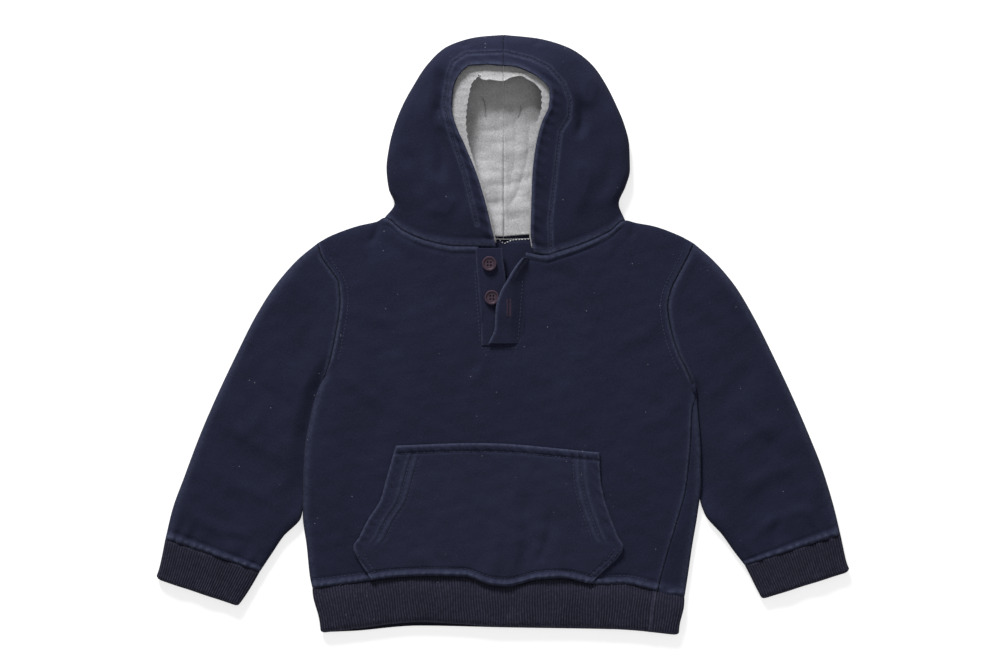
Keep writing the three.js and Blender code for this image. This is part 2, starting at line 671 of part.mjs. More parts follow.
const overGrid = overBand.map(({ y, sewn, free, lift }) =>
  [0, 0.2, 0.4, 0.6, 0.8, 1].map((share) => {
    const x = lerp(free, sewn, share);
    const drop = smoothstep(x, Math.max(underFree(y), free) + 0.8, sewn);
    return new THREE.Vector3(x, y, frontHeight(x, y) + (PLACKET + lift) * (1 - drop));
  }),
);
addCloth("placket_over", overGrid, PLACKET, NAVY);

// Buttons: turned four-hole discs with a raised rim ---------------------------------------------------

const wasm = await Module();
wasm.setup();

function solid(geometry) {
  const bare = geometry.clone();
  bare.deleteAttribute("normal");
  bare.deleteAttribute("uv");
  const merged = mergeVertices(bare);
  return new wasm.Manifold(
    new wasm.Mesh({
      numProp: 3,
      vertProperties: merged.attributes.position.array,
      triVerts: new Uint32Array(merged.index.array),
    }),
  );
}

function geometryOf(body) {
  const mesh = body.getMesh();
  const geometry = new THREE.BufferGeometry();
  geometry.setAttribute("position", new THREE.BufferAttribute(mesh.vertProperties, 3));
  geometry.setIndex(new THREE.BufferAttribute(mesh.triVerts, 1));
  geometry.computeVertexNormals();
  return geometry;
}

const { radius, thickness, rim, dish, hole, holeRing } = BUTTON;
const profile = [
  [0, 0],
  [radius - 1.2, 0],
  [radius, 0.9],
  [radius, thickness - 0.6],
  [radius - 0.5, thickness],
  [radius - rim, thickness],
  [radius - rim - 0.8, thickness - dish],
  [0, thickness - dish],
].map(([across, up]) => new THREE.Vector2(across, up));

for (const { name, x, y } of buttons) {
  const turnedDisc = new THREE.LatheGeometry(profile, 28).rotateX(Math.PI / 2);
  let body = solid(turnedDisc);
  for (const quarter of [0, 1, 2, 3]) {
    const angle = (quarter + 0.5) * (Math.PI / 2);
    const drill = new THREE.CylinderGeometry(hole / 2, hole / 2, 3 * thickness, 10)
      .rotateX(Math.PI / 2)
      .translate(holeRing * Math.cos(angle), holeRing * Math.sin(angle), 0);
    body = body.subtract(solid(drill));
  }
  const geometry = geometryOf(body).translate(x, y, frontHeight(x, y) + 2 * SEAM_GAP);
  addPiece(name, geometry, PLUM);
}

export default garment;
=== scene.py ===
"""A toddler's hooded jumper in navy garment-washed fleece, laid flat and face up, made piece by piece."""

import math

import bpy
import numpy as np
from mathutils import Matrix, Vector
from mathutils.bvhtree import BVHTree


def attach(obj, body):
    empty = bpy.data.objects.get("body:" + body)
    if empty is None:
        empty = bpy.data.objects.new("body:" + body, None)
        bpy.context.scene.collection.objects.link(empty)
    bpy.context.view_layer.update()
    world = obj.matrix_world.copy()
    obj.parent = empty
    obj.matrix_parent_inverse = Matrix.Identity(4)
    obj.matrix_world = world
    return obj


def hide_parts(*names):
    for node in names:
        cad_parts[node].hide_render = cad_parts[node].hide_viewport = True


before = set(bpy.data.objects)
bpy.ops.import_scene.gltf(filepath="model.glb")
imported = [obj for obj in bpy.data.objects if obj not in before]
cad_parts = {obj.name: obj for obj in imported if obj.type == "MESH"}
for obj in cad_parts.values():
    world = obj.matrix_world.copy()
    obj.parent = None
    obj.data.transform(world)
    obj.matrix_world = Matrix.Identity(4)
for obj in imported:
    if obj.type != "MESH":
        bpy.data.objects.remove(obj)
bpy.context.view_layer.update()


# --- The table it lies on, the camera above it and the studio light ------------------------------
# A plain white surface, lit by a strong soft lamp beyond the hood, low enough to rake across the
# folds, and by a weak one beyond the hem. The camera looks straight down.

MM = 0.001
GARMENT_VIEW = {"across": 0.8064, "height": 1.8, "sensor": 0.036, "middle": (0.0004, -0.0008)}

camera = bpy.data.objects.new("camera_overhead", bpy.data.cameras.new("camera_overhead"))
camera.location = (*GARMENT_VIEW["middle"], GARMENT_VIEW["height"])
camera.data.sensor_width = GARMENT_VIEW["sensor"] * 1000
camera.data.lens = camera.data.sensor_width * GARMENT_VIEW["height"] / GARMENT_VIEW["across"]
camera.data.clip_end = 50
bpy.context.collection.objects.link(camera)
bpy.context.scene.camera = camera
bpy.context.scene.view_settings.view_transform = "Standard"


def soft_lamp(name, place, size, power):
    lamp = bpy.data.objects.new(name, bpy.data.lights.new(name, "AREA"))
    lamp.data.shape, lamp.data.size, lamp.data.energy = "SQUARE", size, power
    lamp.location = place
    lamp.rotation_euler = (-Vector(place)).to_track_quat("-Z", "Y").to_euler()
    bpy.context.collection.objects.link(lamp)


soft_lamp("lamp_beyond_the_hood", (-0.55, 1.9, 1.0), 0.6, 56)
soft_lamp("lamp_below_the_hem", (0.6, -1.1, 2.0), 1.4, 7)
world = bpy.data.worlds.new("studio")
bpy.context.scene.world = world
world.use_nodes = True
world.node_tree.nodes["Background"].inputs["Color"].default_value = (1, 1, 1, 1)
world.node_tree.nodes["Background"].inputs["Strength"].default_value = 0.24

table_mesh = bpy.data.meshes.new("table_top")
table_mesh.from_pydata([(-4, -4, 0), (4, -4, 0), (4, 4, 0), (-4, 4, 0)], [], [(0, 1, 2, 3)])
table = bpy.data.objects.new("table_top", table_mesh)
bpy.context.collection.objects.link(table)

white = bpy.data.materials.new("white_table")
white.use_nodes = True
nodes, links = white.node_tree.nodes, white.node_tree.links
nodes.clear()
matt = nodes.new("ShaderNodeBsdfDiffuse")
matt.inputs["Color"].default_value = (0.8, 0.8, 0.8, 1)
glow = nodes.new("ShaderNodeEmission")
both = nodes.new("ShaderNodeAddShader")
seen = nodes.new("ShaderNodeMixShader")
ray = nodes.new("ShaderNodeLightPath")
plain = nodes.new("ShaderNodeMath")
through_glass = nodes.new("ShaderNodeMath")
plain.operation = through_glass.operation = "MAXIMUM"
glow.inputs["Strength"].default_value = 0.62
links.new(ray.outputs["Is Camera Ray"], plain.inputs[0])
links.new(ray.outputs["Is Glossy Ray"], plain.inputs[1])
links.new(plain.outputs[0], through_glass.inputs[0])
links.new(ray.outputs["Is Transmission Ray"], through_glass.inputs[1])
links.new(matt.outputs[0], both.inputs[0])
links.new(glow.outputs[0], both.inputs[1])
links.new(through_glass.outputs[0], seen.inputs["Fac"])
links.new(matt.outputs[0], seen.inputs[1])
links.new(both.outputs[0], seen.inputs[2])
links.new(seen.outputs[0], nodes.new("ShaderNodeOutputMaterial").inputs["Surface"])
table_mesh.materials.append(white)


# --- Front panel ----------------------------------------------------------------------------------
# Navy sweatshirt fleece, washed after sewing, so that its seams and edges are paler; along the rounded side
# folds the paleness is partly painted highlight. It turns under at the wearer's right side and stops at the
# side seam that shows at the wearer's left.

FLEECE, SEAM_GAP, BODY_HEIGHT = 2.0, 0.3, 7.0
FOLD_TOP, FOLD_UNDER = 8.0, 4.0
SIDE_FOLDS = {
    "y": [-209, -193, -169, -142, -118, -92, -65, -46, -33],
    "right": [-150.5, -154.5, -157, -160.3, -160, -158.8, -154, -149, -143],
    "left": [144.5, 147, 150.5, 155, 157.8, 157.5, 155.6, 153.5, 149],
}
ARMHOLES = {
    "right": {
        "y": [-33, -21, 4, 26, 41, 51, 61, 73],
        "x": [-143, -138.5, -133.2, -130.3, -131.5, -137.5, -144.5, -148.6],
    },
    "left": {
        "y": [-46, -29, -16, 4, 23, 35, 46, 61, 73],
        "x": [153.5, 146.4, 140, 133.8, 131.2, 133.5, 138.5, 146.4, 152],
    },
}
FRONT_TOP = {
    "x": [-148.6, -138, -116, -101, -95, -80, -60, -38, -22, 0, 20, 34, 46, 62, 84, 97, 106, 119, 141, 152],
    "y": [
        73, 79, 87, 90.5, 93.6, 83, 74.6, 70.6, 70.4, 69.6,
        65.6, 63.4, 66.6, 72, 82, 91.5, 89.4, 87, 79, 73,
    ],
}
BACK_NECK = {"x": [-95, -60, 2, 62, 97], "y": [93.6, 82, 76.5, 81, 91.5]}
FRONT_HEM = {
    "x": [-153, -120, -83, -59, -32, -9, 3, 13, 27, 45, 77, 96, 120, 146],
    "y": [
        -202, -197.8, -193.1, -192.2, -192.6, -199.6, -200.6,
        -198.9, -195, -193.9, -199, -198.6, -203.3, -208.6,
    ],
}
BACK_HEM = {"x": [-153, 146], "y": [-202, -208.6]}
NECK_ENDS = {"right": -95.0, "left": 97.0}
NECK_RISE, UNDERARM_BLEND = 1.4, 25
SEAM_TURNS = {"y": [-209, -193, -130, -76, -46, -33], "turn": [23, 21.3, 13, 6.8, 3.4, 3.2]}
BODY_POINTS = {"across": 195, "up": 175, "flat_turn": 4, "round_turn": 12}


def through(table, along, column):
    """A smooth curve, with no overshoot, through one column of a table."""
    at, value = np.array(table[along], float), np.array(table[column], float)
    rise = np.diff(value) / np.diff(at)
    before, after = np.append(rise[0], rise), np.append(rise, rise[-1])
    turning = before * after > 0
    slope = np.where(turning, 2 * before * after / np.where(turning, before + after, 1), 0)

    def curve(place):
        place = np.clip(place, at[0], at[-1])
        i = np.clip(np.searchsorted(at, place) - 1, 0, len(at) - 2)
        span = at[i + 1] - at[i]
        t = (place - at[i]) / span
        ease = t * t * (3 - 2 * t)
        leave, arrive = t * (1 - t) ** 2 * slope[i] * span, t * t * (t - 1) * slope[i + 1] * span
        return value[i] * (1 - ease) + value[i + 1] * ease + leave + arrive

    return curve


def mix(a, b, share):
    return a * (1 - share) + b * share


def ease(x, low, high):
    t = np.clip((x - low) / (high - low), 0, 1)
    return t * t * (3 - 2 * t)


def rounding(away, reach):
    return np.sqrt(1 - (1 - np.clip(away / reach, 0, 1)) ** 2)


def rolling(x, y, seed, waves=9, longest=70.0, shortest=22.0):
    """Soft uneven swells of about one unit, from a few seeded waves."""
    random = np.random.default_rng(seed)
    total = np.zeros(np.broadcast(x, y).shape)
    for _ in range(waves):
        angle, phase = random.uniform(0, 2 * math.pi, 2)
        length = random.uniform(shortest, longest)
        along = (x * math.cos(angle) + y * math.sin(angle)) * 2 * math.pi / length
        total += np.sin(along + phase + 0.8 * np.sin(along * 0.37 + 2 * phase)) * length / longest
    return total / math.sqrt(waves)


def creases(x, y, rows):
    """Soft ridges (positive) and troughs (negative), each fading out at both ends."""
    total = np.zeros(np.broadcast(x, y).shape)
    for x0, y0, x1, y1, width, height in rows:
        length = math.hypot(x1 - x0, y1 - y0)
        dx, dy = (x1 - x0) / length, (y1 - y0) / length
        along = ((x - x0) * dx + (y - y0) * dy) / length
        off = (x - x0) * dy - (y - y0) * dx
        off = off + 0.08 * length * np.sin(math.pi * np.clip(along, 0, 1))
        fading = ease(along, -0.1, 0.3) * (1 - ease(along, 0.7, 1.1))
        total += height * np.exp(-((off / width) ** 2)) * fading
    return total


def line_ridge(distance, width):
    return np.exp(-((distance / width) ** 2))


fold = {side: through(SIDE_FOLDS, "y", side) for side in ("right", "left")}
armhole = {side: through(ARMHOLES[side], "y", "x") for side in ("right", "left")}
underarm = {side: ARMHOLES[side]["y"][0] for side in ("right", "left")}
seam_turn = through(SEAM_TURNS, "y", "turn")
front_top, back_neck = through(FRONT_TOP, "x", "y"), through(BACK_NECK, "x", "y")
front_hem, back_hem = through(FRONT_HEM, "x", "y"), through(BACK_HEM, "x", "y")
FOLD_LINE = BODY_HEIGHT / 2 + 1


def back_top(x):
    beyond_neck = (x < NECK_ENDS["right"]) | (x > NECK_ENDS["left"])
    return np.where(beyond_neck, front_top(x), back_neck(x))


def body_edge(side, y):
    return np.where(y < underarm[side], fold[side](y), armhole[side](y))


def front_height(x, y):
    """The lie of the front: flat, rounding over at the side folds and along the shoulders."""
    across = np.ones(np.broadcast(x, y).shape)
    for side in ("right", "left"):
        rounds = 1 - ease(y, underarm[side], underarm[side] + UNDERARM_BLEND)
        across = across * (1 - rounds * (1 - rounding(np.abs(fold[side](y) - x), FOLD_TOP)))
    neck_end = np.where(x < 0, -NECK_ENDS["right"], NECK_ENDS["left"])
    inside = np.maximum(0, neck_end - np.abs(x))
    shoulder = front_top(np.where(inside > 0, np.sign(x) * neck_end, x)) + inside
    near_neck = ease(y, 20, 66) * (1 - ease(np.abs(x), 60, 95))
    full = BODY_HEIGHT + NECK_RISE * near_neck
    return mix(FOLD_LINE, full, across * rounding(shoulder - y + 1, FOLD_TOP))


FRONT_CREASES = [
    # x0, y0, x1, y1, width, height
    (14, -120, 12, -198, 6, -1.5),
    (-8, -150, -12, -198, 7, 0.9),
    (34, -150, 46, -194, 7, 1.0),
    (38, -140, 24, -186, 4, -0.8),
    (-70, -170, -52, -194, 6, 0.7),
    (-14, -12, -30, -46, 5, 0.5),
    (16, -12, 24, -40, 5, 0.5),
    (-100, 91, -107, 72, 2.5, -1.0),
    (102, 91, 102, 76, 2.5, -1.0),
    (-92, 84, -70, 60, 5, 0.6),
    (92, 82, 74, 58, 5, 0.6),
    (-122, 18, -84, 6, 7, 0.6),
    (124, 12, 92, -6, 7, 0.6),
    (-136, -30, -96, -62, 7, 0.8),
    (146, -44, 108, -74, 7, 0.8),
    (30, 52, 62, 40, 6, -0.7),
    (-146, -90, -130, -170, 7, 0.6),
    (148, -120, 128, -170, 6, 0.5),
]


def front_relief(x, y):
    """The front's creases, seam edges and pulls, and how pale each place is: seams paler from the washing,
    and the rounded side folds paler as a painted highlight that is partly wear.
    """
    relief = 1.5 * creases(x, y, FRONT_CREASES) + 0.5 * rolling(x, y, 3)
    relief += 0.22 * rolling(x, y, 5, longest=24, shortest=9)
    hem = y - front_hem(x)
    puckers = 0.5 + 0.5 * np.sin(x * 0.95 + 1.7 * np.sin(x * 0.21))
    welt = line_ridge(hem - 2.6, 2.1)
    relief += welt * (1.5 + 0.4 * puckers) - 0.9 * line_ridge(hem - 6.4, 1.1)
    paleness = 0.75 * welt * (0.5 + 0.5 * puckers)
    for side, sign in (("right", 1), ("left", -1)):
        seam = sign * (x - armhole[side](y))
        near = ease(y, underarm[side] + 2, underarm[side] + 14)
        relief += near * (0.7 * line_ridge(seam - 2.4, 2.0) - 0.9 * line_ridge(seam, 0.9))
        paleness += near * 0.5 * line_ridge(seam - 1.2, 1.2)
        # Paler along the rounded side fold: painted highlight, partly wear on the edge.
        edge = sign * (x - fold[side](y))
        low = 1 - ease(y, underarm[side] - 5, underarm[side] + 10)
        paleness += low * 0.3 * line_ridge(edge - 2, 3)
    neck = front_top(x) - y
    at_neck = ease(np.abs(x), 99, 92)
    relief += at_neck * (0.9 * line_ridge(neck - 2.2, 1.8) - 0.9 * line_ridge(neck - 5.4, 0.8))
    paleness += at_neck * 0.5 * line_ridge(neck - 2.0, 1.6)
    side_seam = x - (fold["left"](y) - seam_turn(y))
    low = 1 - ease(y, -62, -50)
    relief += low * (0.5 * line_ridge(side_seam + 2.2, 1.8) - 0.35 * line_ridge(side_seam, 0.8))
    paleness += low * 0.4 * line_ridge(side_seam + 1.5, 1.2)
    return relief, paleness


def cloth(name, grid, wall, ring=False, paleness=None, keep=None):
    """A wall of cloth in millimetres: its outer face is the grid, and it is closed at every edge."""
    rows, columns = grid.shape[:2]
    i, j = np.meshgrid(np.arange(rows - 1), np.arange(columns - (not ring)), indexing="ij")
    beside = (j + 1) % columns
    above = i + 1
    corners = [i * columns + j, i * columns + beside, above * columns + beside, above * columns + j]
    cells = np.stack(corners, -1)
    cells = cells[keep] if keep is not None else cells.reshape(-1, 4)
    points = grid.reshape(-1, 3)
    a, b, c, d = (points[cells[:, k]] for k in range(4))
    facing = np.cross(c - a, d - b)
    normals = np.zeros_like(points)
    for k in range(4):
        np.add.at(normals, cells[:, k], facing)
    normals /= np.maximum(np.linalg.norm(normals, axis=1, keepdims=True), 1e-12)
    count = len(points)
    start, end = cells.ravel(), np.roll(cells, -1, axis=1).ravel()
    rim = ~np.isin(start * count + end, end * count + start)  # edges with cloth on one side only
    start, end = start[rim], end[rim]
    edging = np.stack([start, start + count, end + count, end], -1)
    faces = np.concatenate([cells, cells[:, ::-1] + count, edging])
    both = np.concatenate([points, points - normals * wall])
    both[:, 2] = np.maximum(both[:, 2], 0)  # nothing sinks into the table
    used = np.unique(faces)
    order = np.zeros(len(both), int)
    order[used] = np.arange(len(used))
    mesh = bpy.data.meshes.new(name)
    mesh.from_pydata((both[used] * MM).tolist(), [], order[faces].tolist())
    mesh.polygons.foreach_set("use_smooth", np.ones(len(faces), bool))
    paler = np.zeros(len(both))
    if paleness is not None:
        paler[:count] = np.broadcast_to(paleness, grid.shape[:2]).ravel()
    mesh.attributes.new("paleness", "FLOAT", "POINT").data.foreach_set("value", paler[used].astype(np.float32))
    piece = bpy.data.objects.new(name, mesh)
    bpy.context.collection.objects.link(piece)
    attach(piece, "root")
    return piece


def srgb(red, green, blue):
    shades = [c / 255 for c in (red, green, blue)]
    return (*(c / 12.92 if c <= 0.04045 else ((c + 0.055) / 1.055) ** 2.4 for c in shades), 1)


def fabric(name, colour, pale, grain, knit, lint=0.5):
    """Matt washed cloth: mottled dye, paler marks (worn seams and edges, and painted highlight on rounded
    folds and rib ridges, partly wear), a fine knitted grain and specks of lint.
    """
    material = bpy.data.materials.new(name)
    material.use_nodes = True
    nodes, links = material.node_tree.nodes, material.node_tree.links
    surface = nodes["Principled BSDF"]
    surface.inputs["Roughness"].default_value = 0.92
    surface.inputs["Specular IOR Level"].default_value = 0.12
    surface.inputs["Sheen Weight"].default_value = 0.02
    surface.inputs["Sheen Roughness"].default_value = 0.6
    place = nodes.new("ShaderNodeTexCoord").outputs["Object"]

    def noise(scale, detail=3.0, rough=0.55):
        made = nodes.new("ShaderNodeTexNoise")
        made.inputs["Scale"].default_value = scale
        made.inputs["Detail"].default_value = detail
        made.inputs["Roughness"].default_value = rough
        links.new(place, made.inputs["Vector"])
        return made.outputs["Fac"]

    def spread(value, low, high, to_low, to_high):
        made = nodes.new("ShaderNodeMapRange")
        sockets = ("From Min", "From Max", "To Min", "To Max")
        for socket, number in zip(sockets, (low, high, to_low, to_high)):
            made.inputs[socket].default_value = number
        links.new(value, made.inputs["Value"])
        return made.outputs["Result"]

    def blend(share, first, second):
        made = nodes.new("ShaderNodeMix")
        made.data_type = "RGBA"
        links.new(share, made.inputs["Factor"])
        for socket, shade in ((6, first), (7, second)):
            if isinstance(shade, tuple):
                made.inputs[socket].default_value = shade
            else:
                links.new(shade, made.inputs[socket])
        return made.outputs[2]

    def joined(operation, first, second):
        made = nodes.new("ShaderNodeMath")
        made.operation = operation
        for socket, value in enumerate((first, second)):
            if isinstance(value, float):
                made.inputs[socket].default_value = value
            else:
                links.new(value, made.inputs[socket])
        return made.outputs[0]

    deep = tuple(c * 0.78 for c in colour[:3]) + (1,)
    mottled = blend(spread(noise(26, 4, 0.6), 0.35, 0.65, 0, 1), deep, colour)
    # This attribute mixes in the pale colour: worn seams and edges, and painted highlight on the rounded
    # folds and on the rib ridges.
    paleness_node = nodes.new("ShaderNodeAttribute")
    paleness_node.attribute_name = "paleness"
    patchy = joined("MULTIPLY", paleness_node.outputs["Fac"], spread(noise(420, 3), 0.35, 0.65, 0.35, 1.0))
    shade = blend(patchy, mottled, pale)
    fine = spread(noise(grain, 2, 0.7), 0.36, 0.64, 0, 1)
    lighter = tuple(min(1, c * 1.6 + 0.008) for c in colour[:3]) + (1,)
    shade = blend(joined("MULTIPLY", fine, 0.5), shade, lighter)
    specks = nodes.new("ShaderNodeTexVoronoi")
    specks.inputs["Scale"].default_value = 190
    links.new(place, specks.inputs["Vector"])
    speck = spread(specks.outputs["Distance"], 0.06, 0.1, lint, 0)
    rare = spread(noise(90, 1), 0.6, 0.64, 0, 1)
    shade = blend(joined("MULTIPLY", speck, rare), shade, (0.3, 0.31, 0.36, 1))
    links.new(shade, surface.inputs["Base Color"])
    bump = nodes.new("ShaderNodeBump")
    bump.inputs["Strength"].default_value = 0.5
    bump.inputs["Distance"].default_value = knit
    loft = joined("MULTIPLY", noise(300, 2), 1.2)
    links.new(joined("ADD", noise(grain * 0.8, 3, 0.7), loft), bump.inputs["Height"])
    links.new(bump.outputs["Normal"], surface.inputs["Normal"])
    return material


NAVY, NAVY_PALE = srgb(29, 32, 53), srgb(88, 94, 120)
fleece = fabric("navy_fleece", NAVY, NAVY_PALE, 1500, 0.0004)


def dress(piece, material, nodes):
    """Gives a piece of cloth its material and hides the frame's parts that it takes the place of."""
    piece.data.materials.append(material)
    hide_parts(*nodes)


def panel_places(edge_right, edge_left, hem, top, count_across, count_up):
    """Points of a body panel: columns follow its two edges, rows run from the hem to the top."""
    share = np.linspace(0, 1, count_across)[None, :]
    level = np.linspace(0, 1, count_up)[:, None]
    low = mix(edge_right(-200.0), edge_left(-200.0), share)
    high = mix(ARMHOLES["right"]["x"][-1], ARMHOLES["left"]["x"][-1], share)
    y = mix(hem(low), top(high), level)
    x = mix(edge_right(y), edge_left(y), share)
    return x, y


def left_turn(y):
    """How far in the left side seam lies, running out to the fold at the underarm."""
    return seam_turn(y) * (1 - ease(y, underarm["left"] - 14, underarm["left"]))


def front_end(y):
    return np.where(y < underarm["left"], fold["left"](y) - left_turn(y), armhole["left"](y))


UNDER_BAND = {
    "y": [-8.6, 6, 24, 44, 57, 69.4],
    "sewn": [-17.6, -18.2, -19.4, -21, -21.8, -22.6],
    "free": [3, 2.8, 2.6, 2, 0.3, -1],
}
OVER_BAND = {
    "y": [-7, 6, 21, 33, 44, 54, 61.4],
    "sewn": [15, 16.8, 18, 19, 19.4, 20, 21],
    "free": [-12.2, -7, -6.2, -3, 3, 9, 15],
    "lift": [0.5, 1.2, 3.2, 3.6, 3.6, 3.2, 3],
}
under_sewn, under_free = through(UNDER_BAND, "y", "sewn"), through(UNDER_BAND, "y", "free")
over_sewn, over_free = through(OVER_BAND, "y", "sewn"), through(OVER_BAND, "y", "free")
over_lift = through(OVER_BAND, "y", "lift")


def front_start(y):
    return body_edge("right", y)


counts = BODY_POINTS["across"], BODY_POINTS["up"]
x, y = panel_places(front_start, front_end, front_hem, front_top, *counts)
relief, paleness = front_relief(x, y)
settle = rounding(np.abs(x - fold["right"](y)) + 60 * ease(y, underarm["right"], underarm["right"] + 20), 6)
front_grid = np.stack([x, y, front_height(x, y) + relief * settle], -1)

# The turn under the wearer's right side narrows to nothing at the underarm.
flats = BODY_POINTS["flat_turn"]
angle = np.linspace(math.pi / 2, 0, BODY_POINTS["round_turn"], endpoint=False)
edge_y = front_grid[:, :1, 1]
turn = seam_turn(edge_y) * (edge_y < underarm["right"]) + 0.4
reach = np.minimum(FOLD_UNDER, 0.8 * turn)
flat_turn = mix(turn, reach, np.linspace(0, 1, flats + 1)[None, :-1])
curved = reach * (1 - np.cos(angle))[None, :]
away = np.concatenate([flat_turn, curved], 1)
drop = np.concatenate([np.zeros((1, flats)), (1 - np.sin(angle))[None, :]], 1)
wrap_y = np.broadcast_to(edge_y, away.shape)
wrap = np.stack([front_grid[:, :1, 0] + away, wrap_y, front_grid[:, :1, 2] * drop], -1)
front_grid = np.concatenate([wrap, front_grid], 1)
paleness = np.concatenate([np.zeros(away.shape), paleness], 1)
centre = (front_grid[:-1, :-1] + front_grid[1:, 1:]) / 2
in_slit = (
    (centre[..., 0] > under_sewn(centre[..., 1]) + 3)
    & (centre[..., 0] < over_sewn(centre[..., 1]) - 3)
    & (centre[..., 1] > -4)
)
in_wrap = (np.arange(front_grid.shape[1] - 1) < away.shape[1])[None, :]
high_wrap = in_wrap & (centre[..., 1] > underarm["right"])
front = cloth("front_panel_cloth", front_grid, FLEECE, paleness=paleness, keep=~(in_slit | high_wrap))
dress(front, fleece, ["front_panel"])


# --- Back panel -----------------------------------------------------------------------------------
# The same fleece, sewn to the front at both sides. It lies flat on the table and comes round the
# wearer's left side to the seam that shows there.

BACK_POINTS = {"across": 90, "up": 70, "over": 18, "round": 10}
WRAP_GAP, ARMHOLE_SHY = 0.9, 0.4


def back_right(y):
    below = fold["right"](y) + seam_turn(y) + WRAP_GAP
    return np.where(y < underarm["right"], below, armhole["right"](y) + ARMHOLE_SHY)


def back_left(y):
    return np.where(y < underarm["left"], fold["left"](y) - FOLD_UNDER, armhole["left"](y) - ARMHOLE_SHY)


x, y = panel_places(back_right, back_left, back_hem, back_top, BACK_POINTS["across"], BACK_POINTS["up"])
under = np.stack([x, y, np.zeros_like(x)], -1)[:, ::-1]
edge_y = under[:, :1, 1]
side_x = fold["left"](edge_y)
over = np.linspace(1, 0, BACK_POINTS["over"], endpoint=False)[None, :] * (left_turn(edge_y) - 0.2)
over_x = side_x - over
seam_relief, over_paleness = front_relief(over_x, edge_y + 0 * over)
over_z = front_height(over_x, edge_y) + seam_relief * rounding(over, 6)
angle = np.linspace(0, math.pi / 2, BACK_POINTS["round"], endpoint=False)[None, :]
under_x = side_x - FOLD_UNDER * (1 - np.cos(angle))
under_z = FOLD_LINE * (1 - np.sin(angle)) + 0 * edge_y
turned_x, turned_z = np.concatenate([over_x, under_x], 1), np.concatenate([over_z, under_z], 1)
turned = np.stack([turned_x, edge_y + 0 * turned_x, turned_z], -1)
back_grid = np.concatenate([turned, under], 1)
back_paleness = np.concatenate([over_paleness, np.zeros((len(under), BACK_POINTS["round"] + under.shape[1]))], 1)
centre_y = (back_grid[:-1, :-1, 1] + back_grid[1:, 1:, 1]) / 2
above = (np.arange(back_grid.shape[1] - 1) < turned.shape[1])[None, :] & (centre_y > underarm["left"] - 1)
back = cloth("back_panel_cloth", back_grid, FLEECE, paleness=back_paleness, keep=~above)
dress(back, fleece, ["back_panel"])


# --- Hem rib --------------------------------------------------------------------------------------
# A doubled band of knitted rib, a little shorter than the body that it gathers in, closed by one
# seam at the wearer's left front.

RIB, RIB_HEIGHT, RIB_RIDGE, RIB_WIDTH = 2.4, 8.2, 0.34, 290
RIB_FRONT = {
    "x": [-143, -120, -67, -35, 0, 60, 98, 138],
    "y": [-237.4, -234.5, -229, -230.5, -233, -233.4, -235.2, -239.2],
}
RIB_BACK = {"x": [-143, -120, -67, 0, 98, 138], "y": [-237.4, -236.4, -232.2, -233.6, -235.4, -239.2]}
RIB_CREASES = [(2, -200, 4, -226, 9, -1.0), (-60, -196, -58, -226, 14, 0.9), (50, -198, 52, -228, 14, 0.8)]
rib_front, rib_back = through(RIB_FRONT, "x", "y"), through(RIB_BACK, "x", "y")
RIBS_ACROSS, POINTS_PER_RIB = 138, 6
front_count = RIBS_ACROSS * POINTS_PER_RIB


def flat_ring(count, height, width, under_count):
    """Shares across and heights round a flattened tube: over the front, then back beneath."""
    share = np.linspace(0, 1, count)
    away = np.minimum(share, 1 - share) * width
    middle = height / 2 + 1
    top = mix(middle, height, rounding(away, FOLD_TOP))
    back_share = np.linspace(1, 0, under_count + 2)[1:-1]
    away = np.minimum(back_share, 1 - back_share) * width
    return np.append(share, back_share), np.append(top, middle * (1 - rounding(away, FOLD_UNDER)))


share, lie = flat_ring(front_count, RIB_HEIGHT, RIB_WIDTH, front_count)
level = np.linspace(0, 1, 22)[:, None]
is_front = (np.arange(2 * front_count) < front_count)[None, :]
top_x = mix(fold["right"](-202.0), fold["left"](-208.0), share)[None, :]
low_x = mix(-145.6, 140.0, share)[None, :]
top_y = np.where(is_front, front_hem(top_x), back_hem(top_x)) - 0.05
low_y = np.where(is_front, rib_front(low_x), rib_back(low_x))
corner = 3.0 * (1 - rounding(np.minimum(share, 1 - share) * RIB_WIDTH, 5.0))[None, :]
low_y = low_y + corner * 0.6
x, y = mix(top_x, low_x, ease(level, 0.0, 1.15) ** 0.8), mix(top_y, low_y, level)
x = x - np.sin((level * 7) + share[None, :] * 40) * 0.35
phase = 2 * math.pi * np.arange(2 * front_count)[None, :] / POINTS_PER_RIB
unevenness = 0.75 + 0.25 * np.sin(share[None, :] * 63 + level * 3)
ridge = RIB_RIDGE * np.cos(phase) * ease(level, 0, 0.08) * unevenness
edge_roll = 1 - 0.28 * ease(level, 0.9, 1.0) ** 2
swell = 1 + 0.16 * np.sin(math.pi * np.clip(level, 0, 1) ** 0.8)
dip = creases(x, y, RIB_CREASES)
closing = line_ridge(x - mix(121.0, 116.4, level), 1.4)
z = lie[None, :] * edge_roll * mix(BODY_HEIGHT / RIB_HEIGHT, 1.0, ease(level, 0, 0.3)) * swell
z = z + np.where(is_front, dip + 0.8 * closing, 0)
grid = np.stack([x, y, np.maximum(z + ridge * np.where(is_front, 1, ease(z, 0.4, 2)), 0)], -1)[::-1]
# Each rib's ridge is painted paler over grooves left dark: painted highlight and painted shade, partly also
# the washing's wear on the ridges. The folded edge and the closing seam are paler from wear.
paler = 0.75 * (0.5 + 0.5 * np.cos(phase)) * (0.6 + 0.4 * level)
paler = (paler + 0.5 * line_ridge(level - 0.985, 0.03) + 0.4 * closing)[::-1]
